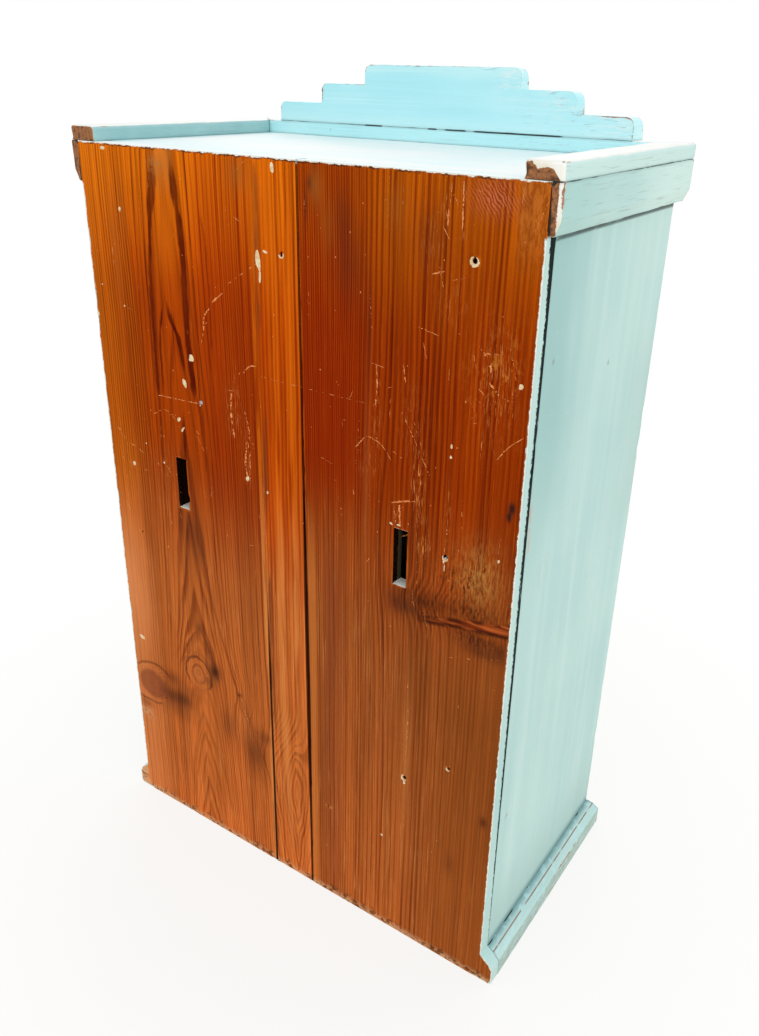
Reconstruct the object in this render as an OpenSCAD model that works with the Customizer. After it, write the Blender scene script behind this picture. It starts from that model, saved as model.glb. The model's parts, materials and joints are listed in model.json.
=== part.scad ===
// Small wooden cupboard with two framed doors, a boarded back, a tray top and a stepped pediment.
// Millimetres. +X is the cupboard's right as its front is faced, +Y is its back, +Z is up.
// The origin is on the ground, in the middle of the space the closed cupboard takes up.

/* [Case] */
// Width over the two sides
case_w = 311; // [250:1:420]
// Height from the ground to the upper face of the top board
case_h = 500; // [400:1:700]
// Depth from the outer face of the back boards to the front edges of the sides
case_d = 173; // [130:1:260]
// Thickness of a side
side_t = 12; // [10:0.5:18]
// Thickness of the top board
top_t = 10; // [8:0.5:14]
// Thickness of the bottom board
bottom_t = 10; // [8:0.5:14]
// Thickness of a shelf
shelf_t = 9; // [6:0.5:14]
// Depth of the housings in the sides for the shelves and the bottom board
housing_d = 4; // [2:0.5:6]
// Height of the lower shelf's underside
lower_shelf_z = 168; // [110:1:210]
// Height of the upper shelf's underside
upper_shelf_z = 322; // [315:1:345]
// Gap between a closed door and a shelf's front edge
shelf_setback = 4; // [3:0.5:20]

/* [Back boards] */
// Thickness of the back boards
back_t = 9; // [6:0.5:14]
// Distance from the middle to the straight edge of the narrow board
narrow_edge_x = 17; // [10:0.5:30]
// Width of the narrow board at its top
narrow_top_w = 30; // [24:0.5:44]
// Width of the narrow board at its foot
narrow_foot_w = 33; // [24:0.5:44]
// Open joint between two back boards
board_gap = 0.8; // [0.4:0.1:2]
// Width of a slot
slot_w = 9; // [5:0.5:14]
// Length of a slot
slot_l = 36; // [20:1:50]
// Height of the slots' middle
slot_z = 292; // [240:1:292]
// Distance from the middle to the left board's slot
left_slot_x = 83.5; // [50:0.5:95]
// Distance from the middle to the right board's slot
right_slot_x = 88; // [50:0.5:95]
// Bevel on the outer foot corners of the back
foot_bevel = 2; // [1:0.5:4]

/* [Cornice] */
// Width of the rails round the tray top
rail_w = 20; // [17:0.5:30]
// Height of the rails
rail_h = 8.6; // [6:0.1:16]
// Thickness of the fascia strips
fascia_t = 6; // [6:0.5:10]
// Depth of the fascia strips below the rails
fascia_drop = 23.5; // [18:0.5:30]
// Width of the bevel along the lower arris of the fascia
fascia_bevel_w = 2.5; // [1:0.5:5]
// Height of that bevel
fascia_bevel_h = 7; // [2:0.5:12]

/* [Pediment] */
// Thickness of the pediment at its foot
pediment_t = 17; // [12:0.5:17]
// Thickness of the pediment at its top
pediment_top_t = 8.5; // [6:0.5:12]
// Width of its lowest step
low_step_w = 261; // [200:1:270]
// Width of its middle step
mid_step_w = 188; // [140:1:190]
// Width of its highest step
high_step_w = 115; // [60:1:130]
// Height of its lowest step
low_step_h = 12.5; // [8:0.5:24]
// Rise of its middle step
mid_step_h = 12.5; // [8:0.5:24]
// Rise of its highest step
high_step_h = 12; // [8:0.5:24]
// Radius of the steps' corners
step_r = 5; // [1:0.5:7]
// Radius of the two dowels under the pediment
dowel_r = 3; // [2:0.5:4]
// Length of a dowel
dowel_l = 18; // [12:1:20]
// Distance between the two dowels
dowel_pitch = 170; // [80:1:180]

/* [Base moulding] */
// Height of the moulding
base_h = 22; // [22:0.5:30]
// How far it stands out at the sides
base_side_out = 9; // [7:0.5:16]
// How far it stands out at the front
base_front_out = 5; // [4:0.5:12]
// Height of its upright face
base_face_h = 13.5; // [8:0.5:15]
// How far out its upper arris lies
base_arris_out = 4.6; // [2:0.1:6]
// Height of its upper arris
base_arris_z = 19; // [16:0.5:21]

/* [Doors] */
// Thickness of a door's frame
door_t = 14; // [12:0.5:18]
// Width of a stile
stile_w = 32; // [28:1:45]
// Width of a door's top rail
top_rail_w = 32; // [24:1:50]
// Width of a door's bottom rail
bottom_rail_w = 40; // [24:1:60]
// Thickness of a door panel
panel_t = 6; // [4:0.5:7]
// Depth of the grooves that hold the panel
groove_d = 8; // [5:0.5:10]
// Play of a panel at the bottom of its grooves
panel_play = 0.5; // [0.2:0.1:0.9]
// Bevel along the inner arrises of a door's frame
frame_bevel = 2; // [1:0.5:3]
// Gap between a door and the side it hangs on
side_gap = 1; // [0.8:0.1:1.4]
// Gap between the two doors
meeting_gap = 1.6; // [1:0.1:3]
// Gap above and below a door
end_gap = 1; // [0.6:0.1:2]
// Gap between a closed door and its stop
stop_gap = 0.3; // [0.2:0.1:0.8]
// Thickness of the strip that stops the doors
stop_t = 10; // [8:0.5:16]
// How far that strip hangs down behind the doors
stop_lap = 12; // [8:0.5:20]

/* [Hinges] */
// Length of a hinge
hinge_l = 38; // [30:1:50]
// Distance from a door's end to the middle of its hinge
hinge_inset = 62; // [40:1:90]
// How deep a leaf reaches behind the front
leaf_w = 12; // [9:0.5:12]
// Thickness of a leaf
leaf_t = 1; // [0.8:0.1:1.4]
// Gap between the leaves of a closed hinge
leaf_gap = 0.5; // [0.3:0.1:0.7]
// Radius of the knuckles
knuckle_r = 2.3; // [2:0.1:3]
// Gap between two knuckles
knuckle_gap = 0.2; // [0.1:0.05:0.4]
// Radius of the hinge pin
pin_r = 1.1; // [0.9:0.05:1.3]
// Running clearance round the pin
pin_play = 0.05; // [0.03:0.01:0.08]
// Distance between the two screws of a leaf
screw_pitch = 20; // [14:1:24]
// Radius of a hinge screw's shank
screw_r = 1.2; // [0.8:0.1:1.4]
// Radius of a hinge screw's head
screw_head_r = 2.4; // [2:0.1:3]
// Length of a hinge screw
screw_l = 8; // [6:0.5:9]

/* [Knobs and catches] */
// How far a knob stands out from its door
knob_l = 20; // [16:0.5:30]
// Radius of a knob's head
knob_r = 10.5; // [8:0.5:14]
// Radius of a knob's foot
knob_foot_r = 7; // [6:0.5:9]
// Radius of a knob's rounded rim
knob_rim_r = 5; // [3:0.5:5.5]
// Height of the knobs
knob_z = 262; // [215:1:290]
// Radius of a knob screw's shank
knob_screw_r = 1.75; // [1.2:0.05:2.4]
// Radius of a knob screw's head
knob_screw_head_r = 3.6; // [3:0.1:5]
// Length of a magnetic catch
catch_l = 24; // [16:1:28]
// Depth of a magnetic catch
catch_d = 9; // [7:0.5:10]
// Height of a magnetic catch
catch_h = 11; // [8:0.5:16]
// Thickness of a catch's plate on the door
plate_t = 1; // [0.6:0.1:1.6]
// Gap between a closed door's plate and its catch
catch_gap = 0.3; // [0.2:0.1:0.8]

/* [Hidden] */
$fn = 48;

PAINT = [0.60, 0.82, 0.83];
PINE = [0.70, 0.36, 0.15];
BRASS = [0.75, 0.60, 0.30];
STEEL = [0.62, 0.62, 0.64];
PLASTIC = [0.36, 0.24, 0.16];

half_w = case_w / 2;
inner_half = half_w - side_t;
back_y = (case_d + knob_l) / 2;
front_y = back_y - case_d;
inner_back_y = back_y - back_t;
under_top_z = case_h - top_t;
fascia_z = case_h - fascia_drop;
rail_top_z = case_h + rail_h;
cornice_half = half_w + fascia_t;
cornice_front_y = front_y - fascia_t;
rail_back_y = cornice_front_y + rail_w;
pediment_h = low_step_h + mid_step_h + high_step_h;

// The section of the fascia and of the base moulding: distance out, height.
FASCIA_SECTION = [
    [0, fascia_z], [fascia_t - fascia_bevel_w, fascia_z], [fascia_t, fascia_z + fascia_bevel_h],
    [fascia_t, case_h], [0, case_h]
];
BASE_SECTION = [
    [0, 0], [base_side_out, 0], [base_side_out, base_face_h], [base_arris_out, base_arris_z], [0, base_h]
];

door_back_y = front_y + door_t;
door_mid_y = front_y + door_t / 2;
door_x0 = -inner_half + side_gap;
door_x1 = -meeting_gap / 2;
door_z0 = base_h + end_gap;
door_z1 = fascia_z - end_gap;
panel_x0 = door_x0 + stile_w;
panel_x1 = door_x1 - stile_w;
panel_z0 = door_z0 + bottom_rail_w;
panel_z1 = door_z1 - top_rail_w;
lock_x = door_x1 - stile_w / 2;
stop_y = door_back_y + stop_gap;
stop_z = fascia_z - stop_lap;
shelf_y = door_back_y + shelf_setback;

// The hinge pins stand clear in front of the door, over the gap beside it.
knuckle_clear = 0.2;
hinge_proud = knuckle_r + knuckle_clear;
hinge_x = -inner_half + side_gap / 2;
hinge_y = front_y - hinge_proud;
lower_hinge_z = door_z0 + hinge_inset;
upper_hinge_z = door_z1 - hinge_inset;
knuckles = 5;
knuckle_pitch = (hinge_l + knuckle_gap) / knuckles;
leaf_reach = hinge_proud + leaf_w;
leaf_out = leaf_gap / 2 + leaf_t;
screw_y = hinge_proud + leaf_w / 2;
screw_sink_past_leaf = 0.4;
screw_sink = leaf_t + screw_sink_past_leaf;
screw_play = 0.05;

pin_head_h = 1.4;
knob_foot_h = 2;
knob_neck_r = 4.5;
knob_screw_grip = 10;
knob_screw_head_h = 2;
knob_screw_top_r = 2.5;
plate_play = 2;

// Cuts reach this far past the faces that they open.
past = 1;

// ---- Shapes used more than once ----

// A box between two opposite corners.
module block(from, to) {
    translate(from) cube(to - from);
}

// Pieces are drawn for the left, and mirrored for the right.
module handed(side) {
    if (side == "right") mirror([1, 0, 0]) children();
    else children();
}

// A strip along the left side with its front end mitred.
module side_strip(section, rear_y, side_out, front_out) {
    intersection() {
        translate([0, rear_y, 0]) rotate([90, 0, 0])
            linear_extrude(rear_y - front_y + front_out)
                polygon([for (p = section) [-half_w - p[0], p[1]]]);
        linear_extrude(case_h)
            polygon([
                [-half_w, rear_y], [-half_w - side_out, rear_y],
                [-half_w - side_out, front_y - front_out], [-half_w, front_y]
            ]);
    }
}

// The strip across the front that meets two side strips at their mitres.
module front_strip(section, side_out, front_out) {
    intersection() {
        translate([-half_w - side_out, 0, 0]) rotate([90, 0, 90])
            linear_extrude(2 * (half_w + side_out))
                polygon([for (p = section) [front_y - p[0] * front_out / side_out, p[1]]]);
        linear_extrude(case_h)
            polygon([
                [-half_w, front_y], [half_w, front_y],
                [half_w + side_out, front_y - front_out], [-half_w - side_out, front_y - front_out]
            ]);
    }
}

// A countersunk screw with its head at the origin, driven along -X.
module countersunk_screw(play = 0) {
    rotate([0, -90, 0]) {
        cylinder(h = screw_sink, r1 = screw_head_r + play, r2 = screw_r + play);
        cylinder(h = screw_l + play, r = screw_r + play);
    }
}

// ---- Case ----

module housing_cut(z0, thickness, y0) {
    block([-inner_half - housing_d, y0, z0], [-inner_half + past, inner_back_y + past, z0 + thickness]);
}

module side_board(side) {
    color(PAINT) handed(side) difference() {
        block([-half_w, front_y, 0], [-inner_half, inner_back_y, under_top_z]);
        housing_cut(base_h - bottom_t, bottom_t, front_y - past);
        housing_cut(lower_shelf_z, shelf_t, shelf_y);
        housing_cut(upper_shelf_z, shelf_t, shelf_y);
        at_hinges() leaf_seat();
        at_hinges() leaf_screws(screw_play);
    }
}

module top_board() {
    color(PAINT) block([-half_w, front_y, under_top_z], [half_w, inner_back_y, case_h]);
}

module housed_board(z0, thickness, y0) {
    reach = inner_half + housing_d;
    color(PINE) block([-reach, y0, z0], [reach, inner_back_y, z0 + thickness]);
}

module head_rail() {
    color(PAINT) block([-inner_half, front_y, fascia_z], [inner_half, stop_y, under_top_z]);
}

module door_stop() {
    color(PINE) block([-inner_half, stop_y, stop_z], [inner_half, stop_y + stop_t, under_top_z]);
}

// ---- Back ----

// The outline of a wide board: its foot follows the base moulding, and its inner edge may lean.
module wide_back_board(edge_top_x, edge_foot_x, slot_x) {
    color(PINE) translate([0, back_y, 0]) rotate([90, 0, 0])
        linear_extrude(back_t) difference() {
            polygon([
                [-half_w, case_h], [-half_w, base_h],
                [-half_w - base_arris_out, base_arris_z],
                [-half_w - base_side_out, base_face_h],
                [-half_w - base_side_out, foot_bevel],
                [-half_w - base_side_out + foot_bevel, 0],
                [-edge_foot_x, 0], [-edge_top_x, case_h]
            ]);
            translate([-slot_x, slot_z]) square([slot_w, slot_l], center = true);
        }
}

module left_back_board() {
    wide_back_board(narrow_top_w - narrow_edge_x + board_gap,
                    narrow_foot_w - narrow_edge_x + board_gap, left_slot_x);
}

module right_back_board() {
    handed("right")
        wide_back_board(narrow_edge_x + board_gap, narrow_edge_x + board_gap, right_slot_x);
}

module middle_back_board() {
    color(PINE) translate([0, back_y, 0]) rotate([90, 0, 0])
        linear_extrude(back_t)
            polygon([
                [narrow_edge_x - narrow_foot_w, 0], [narrow_edge_x, 0],
                [narrow_edge_x, case_h], [narrow_edge_x - narrow_top_w, case_h]
            ]);
}

// ---- Cornice and pediment ----

module side_top_rail(side) {
    inner_x = cornice_half - rail_w;
    color(PAINT) handed(side) translate([0, 0, case_h]) linear_extrude(rail_h)
        polygon([
            [-cornice_half, back_y], [-inner_x, back_y],
            [-inner_x, rail_back_y], [-cornice_half, cornice_front_y]
        ]);
}

module front_top_rail() {
    inner_x = cornice_half - rail_w;
    color(PAINT) difference() {
        translate([0, 0, case_h]) linear_extrude(rail_h)
            polygon([
                [-cornice_half, cornice_front_y], [cornice_half, cornice_front_y],
                [inner_x, rail_back_y], [-inner_x, rail_back_y]
            ]);
        pediment_dowels();
    }
}

module side_fascia(side) {
    color(PAINT) handed(side) side_strip(FASCIA_SECTION, back_y, fascia_t, fascia_t);
}

module front_fascia() {
    color(PAINT) front_strip(FASCIA_SECTION, fascia_t, fascia_t);
}

// One step of the pediment, from its foot to its own top, with rounded corners.
module step_outline(width, height) {
    translate([-width / 2, 0]) square([width, height - step_r]);
    translate([-width / 2 + step_r, 0]) square([width - 2 * step_r, height]);
    for (x = [-1, 1]) translate([x * (width / 2 - step_r), height - step_r]) circle(step_r);
}

// The pediment's section across its length, with the front face sloping back as it rises.
module pediment_section() {
    polygon([[-pediment_t, 0], [0, 0], [0, pediment_h], [-pediment_top_t, pediment_h]]);
}

module pediment() {
    color(PAINT) difference() {
        translate([0, rail_back_y, rail_top_z]) intersection() {
            rotate([90, 0, 0]) linear_extrude(pediment_t) {
                step_outline(low_step_w, low_step_h);
                step_outline(mid_step_w, low_step_h + mid_step_h);
                step_outline(high_step_w, pediment_h);
            }
            translate([-low_step_w / 2, 0, 0]) rotate([90, 0, 90])
                linear_extrude(low_step_w) pediment_section();
        }
        pediment_dowels();
    }
}

// The dowels go right through the rail and up into the pediment.
module pediment_dowels() {
    color(PINE) for (x = [-1, 1])
        translate([x * dowel_pitch / 2, rail_back_y - pediment_t / 2, case_h])
            cylinder(h = dowel_l, r = dowel_r);
}

// ---- Base moulding ----

module side_base_moulding(side) {
    color(PAINT) handed(side)
        side_strip(BASE_SECTION, inner_back_y, base_side_out, base_front_out);
}

module front_base_moulding() {
    color(PAINT) front_strip(BASE_SECTION, base_side_out, base_front_out);
}

// ---- Hinges, drawn round a pin that stands at the origin, with the case on the -X side ----

module at_hinge(z) {
    translate([hinge_x, hinge_y, z]) children();
}

module at_hinges() {
    for (z = [lower_hinge_z, upper_hinge_z]) at_hinge(z) children();
}

module leaf_plate() {
    block([-leaf_out, 0, -hinge_l / 2], [-leaf_gap / 2, leaf_reach, hinge_l / 2]);
}

// The shallow seat that a leaf is let into.
module leaf_seat() {
    block([-leaf_out, 0, -hinge_l / 2], [0, leaf_reach, hinge_l / 2]);
}

module leaf_screws(play = 0) {
    for (z = [-1, 1]) translate([-leaf_gap / 2, screw_y, z * screw_pitch / 2]) countersunk_screw(play);
}

// Knuckle number i of the hinge, or the room that the other leaf leaves for it.
module knuckle(i, grow = 0) {
    translate([0, 0, -hinge_l / 2 + i * knuckle_pitch - grow])
        cylinder(h = knuckle_pitch - knuckle_gap + 2 * grow, r = knuckle_r + grow);
}

module hinge_leaf(first) {
    color(BRASS) difference() {
        union() {
            difference() {
                leaf_plate();
                for (i = [1 - first : 2 : knuckles - 1]) knuckle(i, knuckle_gap);
            }
            for (i = [first : 2 : knuckles - 1]) knuckle(i);
        }
        translate([0, 0, -hinge_l]) cylinder(h = 2 * hinge_l, r = pin_r + pin_play);
        leaf_screws();
    }
}

module case_leaf(side, z) {
    handed(side) at_hinge(z) hinge_leaf(0);
}

module door_leaf(side, z) {
    handed(side) at_hinge(z) mirror([1, 0, 0]) hinge_leaf(1);
}

// The pin with a button head at each end.
module hinge_pin(side, z) {
    color(BRASS) handed(side) at_hinge(z) {
        translate([0, 0, -hinge_l / 2]) cylinder(h = hinge_l, r = pin_r);
        for (end = [0, 1]) mirror([0, 0, end]) translate([0, 0, hinge_l / 2])
            cylinder(h = pin_head_h, r1 = knuckle_r, r2 = pin_r);
    }
}

module case_hinge_screws() {
    color(BRASS) for (side = ["left", "right"]) handed(side) at_hinges() leaf_screws();
}

module door_hinge_screws(side) {
    color(BRASS) handed(side) at_hinges() mirror([1, 0, 0]) leaf_screws();
}

// ---- Doors ----

// The panel groove, from one point to another along a door's frame.
module groove(x0, x1, z0, z1) {
    block([x0, door_mid_y - panel_t / 2, z0], [x1, door_mid_y + panel_t / 2, z1]);
}

// The section that cuts a bevel on an arris at the origin.
module bevel_section() {
    polygon([[frame_bevel, 0], [0, frame_bevel], [-frame_bevel, 0], [0, -frame_bevel]]);
}

// A bevel along an upright inner arris at x, between the rails.
module upright_bevel(x) {
    translate([x, front_y, panel_z0]) linear_extrude(panel_z1 - panel_z0) bevel_section();
}

// A bevel along a level inner arris at height z, between the stiles.
module level_bevel(z) {
    translate([panel_x0, front_y, z]) rotate([90, 0, 90])
        linear_extrude(panel_x1 - panel_x0) bevel_section();
}

module door_hinge_stile(side) {
    color(PAINT) handed(side) difference() {
        block([door_x0, front_y, door_z0], [panel_x0, door_back_y, door_z1]);
        groove(panel_x0 - groove_d, panel_x0 + past, door_z0 - past, door_z1 + past);
        upright_bevel(panel_x0);
        at_hinges() mirror([1, 0, 0]) leaf_seat();
        at_hinges() mirror([1, 0, 0]) leaf_screws(screw_play);
    }
}

module door_lock_stile(side) {
    color(PAINT) handed(side) difference() {
        block([panel_x1, front_y, door_z0], [door_x1, door_back_y, door_z1]);
        groove(panel_x1 - past, panel_x1 + groove_d, door_z0 - past, door_z1 + past);
        upright_bevel(panel_x1);
        knob_screw_shank(screw_play);
    }
}

// A rail between the stiles, with tongues that fill their grooves and a groove for the panel.
module door_rail(side, outer_z, inner_z) {
    way = sign(inner_z - outer_z);
    bed_z = inner_z - way * groove_d;
    tongue = groove_d - panel_play;
    color(PAINT) handed(side) difference() {
        union() {
            block([panel_x0, front_y, min(outer_z, inner_z)], [panel_x1, door_back_y, max(outer_z, inner_z)]);
            groove(panel_x0 - tongue, panel_x1 + tongue, min(outer_z, bed_z), max(outer_z, bed_z));
        }
        groove(panel_x0, panel_x1, min(bed_z, inner_z + way * past), max(bed_z, inner_z + way * past));
        level_bevel(inner_z);
    }
}

module door_panel(side) {
    edge = groove_d - panel_play;
    face_play = 0.1;
    color(PAINT) handed(side)
        block([panel_x0 - edge, door_mid_y - panel_t / 2 + face_play, panel_z0 - edge],
              [panel_x1 + edge, door_mid_y + panel_t / 2 - face_play, panel_z1 + edge]);
}

// ---- Knobs and catches ----

// The turned outline of a knob: a foot, a hollowed neck and a head with a rounded rim.
module knob_outline() {
    head_h = 2 * knob_rim_r;
    neck_h = knob_l - head_h;
    hollow_r = neck_h - knob_foot_h;
    square([knob_foot_r, knob_foot_h]);
    difference() {
        square([knob_neck_r + hollow_r, neck_h + knob_rim_r]);
        translate([knob_neck_r + hollow_r, knob_foot_h + hollow_r / 2])
            circle(hollow_r);
        translate([knob_foot_r, 0]) square([knob_r + hollow_r, neck_h]);
    }
    translate([0, neck_h]) square([knob_r - knob_rim_r, head_h]);
    translate([knob_r - knob_rim_r, neck_h + knob_rim_r]) circle(knob_rim_r);
}

module knob(side) {
    color(PAINT) handed(side) difference() {
        translate([lock_x, front_y, knob_z]) rotate([90, 0, 0]) rotate_extrude() knob_outline();
        knob_screw_shank(screw_play);
    }
}

module knob_screw_shank(play = 0) {
    length = door_t + knob_screw_grip + play;
    translate([lock_x, door_back_y, knob_z]) rotate([90, 0, 0])
        cylinder(h = length, r = knob_screw_r + play);
}

module knob_screw(side) {
    color(STEEL) handed(side) {
        knob_screw_shank();
        translate([lock_x, door_back_y, knob_z]) rotate([-90, 0, 0])
            cylinder(h = knob_screw_head_h, r1 = knob_screw_head_r, r2 = knob_screw_top_r);
    }
}

module catch(side) {
    catch_y = door_back_y + plate_t + catch_gap;
    color(PLASTIC) handed(side)
        block([lock_x - catch_l / 2, catch_y, stop_z - catch_h],
              [lock_x + catch_l / 2, catch_y + catch_d, stop_z]);
}

module catch_plate(side) {
    half = catch_l / 2 - plate_play;
    color(STEEL) handed(side)
        block([lock_x - half, door_back_y, stop_z - catch_h],
              [lock_x + half, door_back_y + plate_t, stop_z - plate_play]);
}

side_board("left");  // left_side
side_board("right");  // right_side
top_board();
housed_board(base_h - bottom_t, bottom_t, front_y);  // bottom_board
housed_board(lower_shelf_z, shelf_t, shelf_y);  // lower_shelf
housed_board(upper_shelf_z, shelf_t, shelf_y);  // upper_shelf
head_rail();
door_stop();
left_back_board();
middle_back_board();
right_back_board();
side_top_rail("left");  // left_top_rail
side_top_rail("right");  // right_top_rail
front_top_rail();
side_fascia("left");  // left_fascia
side_fascia("right");  // right_fascia
front_fascia();
pediment();
pediment_dowels();
side_base_moulding("left");  // left_base_moulding
side_base_moulding("right");  // right_base_moulding
front_base_moulding();
case_leaf("left", upper_hinge_z);  // left_upper_case_leaf
case_leaf("left", lower_hinge_z);  // left_lower_case_leaf
case_leaf("right", upper_hinge_z);  // right_upper_case_leaf
case_leaf("right", lower_hinge_z);  // right_lower_case_leaf
hinge_pin("left", upper_hinge_z);  // left_upper_pin
hinge_pin("left", lower_hinge_z);  // left_lower_pin
hinge_pin("right", upper_hinge_z);  // right_upper_pin
hinge_pin("right", lower_hinge_z);  // right_lower_pin
case_hinge_screws();
catch("left");  // left_catch
catch("right");  // right_catch
door_hinge_stile("left");  // left_door_hinge_stile
door_lock_stile("left");  // left_door_lock_stile
door_rail("left", door_z1, panel_z1);  // left_door_top_rail
door_rail("left", door_z0, panel_z0);  // left_door_bottom_rail
door_panel("left");  // left_door_panel
door_leaf("left", upper_hinge_z);  // left_upper_door_leaf
door_leaf("left", lower_hinge_z);  // left_lower_door_leaf
door_hinge_screws("left");  // left_door_hinge_screws
knob("left");  // left_knob
knob_screw("left");  // left_knob_screw
catch_plate("left");  // left_catch_plate
door_hinge_stile("right");  // right_door_hinge_stile
door_lock_stile("right");  // right_door_lock_stile
door_rail("right", door_z1, panel_z1);  // right_door_top_rail
door_rail("right", door_z0, panel_z0);  // right_door_bottom_rail
door_panel("right");  // right_door_panel
door_leaf("right", upper_hinge_z);  // right_upper_door_leaf
door_leaf("right", lower_hinge_z);  // right_lower_door_leaf
door_hinge_screws("right");  // right_door_hinge_screws
knob("right");  // right_knob
knob_screw("right");  // right_knob_screw
catch_plate("right");  // right_catch_plate
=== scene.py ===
"""The looks of a small painted pine cupboard, seen from behind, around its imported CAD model."""

import json
import math
import random

import bmesh
import bpy
import numpy as np
from mathutils import Matrix, Vector, noise
from mathutils.bvhtree import BVHTree

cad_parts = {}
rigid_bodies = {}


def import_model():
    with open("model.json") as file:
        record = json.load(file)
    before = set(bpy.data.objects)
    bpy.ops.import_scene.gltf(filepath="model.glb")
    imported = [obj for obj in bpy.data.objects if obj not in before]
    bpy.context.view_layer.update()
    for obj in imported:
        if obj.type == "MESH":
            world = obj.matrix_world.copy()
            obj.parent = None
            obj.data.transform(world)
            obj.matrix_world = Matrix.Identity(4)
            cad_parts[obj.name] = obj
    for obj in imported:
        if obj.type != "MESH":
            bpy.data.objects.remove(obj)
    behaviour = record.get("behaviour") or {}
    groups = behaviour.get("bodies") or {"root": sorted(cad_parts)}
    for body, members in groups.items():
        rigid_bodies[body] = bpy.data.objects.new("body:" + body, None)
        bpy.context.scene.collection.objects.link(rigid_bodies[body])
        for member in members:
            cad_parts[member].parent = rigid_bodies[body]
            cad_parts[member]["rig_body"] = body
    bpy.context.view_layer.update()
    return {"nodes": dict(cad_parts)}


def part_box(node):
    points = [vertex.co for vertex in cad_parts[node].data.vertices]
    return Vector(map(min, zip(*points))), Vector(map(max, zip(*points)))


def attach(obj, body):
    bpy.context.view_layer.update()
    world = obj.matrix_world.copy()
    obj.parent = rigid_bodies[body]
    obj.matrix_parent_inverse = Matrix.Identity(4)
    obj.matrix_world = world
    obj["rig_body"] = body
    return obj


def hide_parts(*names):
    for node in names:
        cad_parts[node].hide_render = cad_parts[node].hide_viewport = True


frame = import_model()
NODES = frame["nodes"]
MM = 0.001

# Places that the looks go by, in millimetres, read from the frame apart from SLOT_Z, the slots' middle height.
BACK_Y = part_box("middle_back_board")[1].y / MM
INNER_BACK_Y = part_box("middle_back_board")[0].y / MM
FRONT_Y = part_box("left_side")[0].y / MM
TOP_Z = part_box("top_board")[1].z / MM
FASCIA_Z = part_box("front_fascia")[0].z / MM
BASE_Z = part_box("front_base_moulding")[1].z / MM
RAIL_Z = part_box("front_top_rail")[1].z / MM
SLOT_Z = 292
SHUT_JOINT_X = (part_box("right_back_board")[0].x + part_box("middle_back_board")[1].x) / 2 / MM
HALF_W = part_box("right_side")[1].x / MM

# Colours, as sRGB.
PAINT_SIDE = (192, 223, 220)
PAINT_SIDE_BLUE = (181, 216, 215)
PAINT_SIDE_PALE = (206, 232, 228)
# The side's paint made lighter and bluer, as painted light, for the front rail and the pediment, which take more light.
PAINT_LIT_TOP = (198, 246, 251)
PAINT_LIT_TOP_BLUE = (180, 239, 248)
PAINT_LIT_TOP_PALE = (214, 249, 251)
# The tray's paint as near white: painted light, standing for its blue paint under strong light from above.
PAINT_LIT_TRAY = (242, 243, 241)
PRIMER = (236, 228, 208)
CRACK = (24, 34, 32)
# Grey-green laid along joints: dirt, and painted shade between pieces.
GRIME_AND_SHADE = (104, 140, 138)
PINE_LIGHT = (206, 150, 92)
PINE_DARK = (150, 86, 40)
BACK_HONEY = (214, 108, 8)
BACK_RED = (176, 66, 1)
BACK_LATE = (104, 28, 1)
BACK_BROWN = (186, 98, 42)
BACK_BROWN_LATE = (118, 50, 18)
BACK_SMOKE = (62, 30, 22)
DULL = (160, 92, 34)
BRASS = (176, 136, 66)
STEEL = (150, 150, 148)
CATCH = (84, 56, 38)

# How far from an arris, and from a joint, the closeness is still kept on a piece's mesh.
NEAR_MM = 6.5
JOINT_MM = 2.4

# How worn pieces are cut up: the least angle and length of an arris, the least face that gets a strip along its
# border, how wide that strip is, and the angle from which an edge stays sharp. In degrees, mm and square mm.
ARRIS_DEG, ARRIS_MM = 25, 0.5
FACE_MM2, STRIP_MM = 60, 2.5
SHARP_DEG = 38

# Small marks scattered over the back: how many flecks and fine scratches, and how far a mark stands off the wood.
FLECKS, HAIRS = 90, 60
SKIN_MM = 0.05


def srgb(colour):
    """A colour in sRGB bytes as linear numbers."""
    parts = [c / 255 for c in colour]
    return tuple(((c + 0.055) / 1.055) ** 2.4 if c > 0.04045 else c / 12.92 for c in parts) + (1.0,)


# ---- Node trees written as sums ----


class Num:
    """A number in a material's node tree, which takes part in sums."""

    def __init__(self, tree, socket):
        self.tree, self.socket = tree, socket

    def __rsub__(self, other):
        return self.tree.math("SUBTRACT", other, self)

    def __neg__(self):
        return self * -1.0

    def clamp(self):
        return self.tree.math("ADD", self, 0.0, clamp=True)


def sum_method(kind):
    """A method of Num that makes a maths node of this kind."""
    return lambda number, *others: number.tree.math(kind, number, *others)


for key, kind in (
    ("__add__", "ADD"), ("__radd__", "ADD"), ("__sub__", "SUBTRACT"), ("__mul__", "MULTIPLY"),
    ("__rmul__", "MULTIPLY"), ("__truediv__", "DIVIDE"), ("abs", "ABSOLUTE"), ("frac", "FRACT"),
    ("floor", "FLOOR"), ("min", "MINIMUM"), ("max", "MAXIMUM"),
):
    setattr(Num, key, sum_method(kind))


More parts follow.
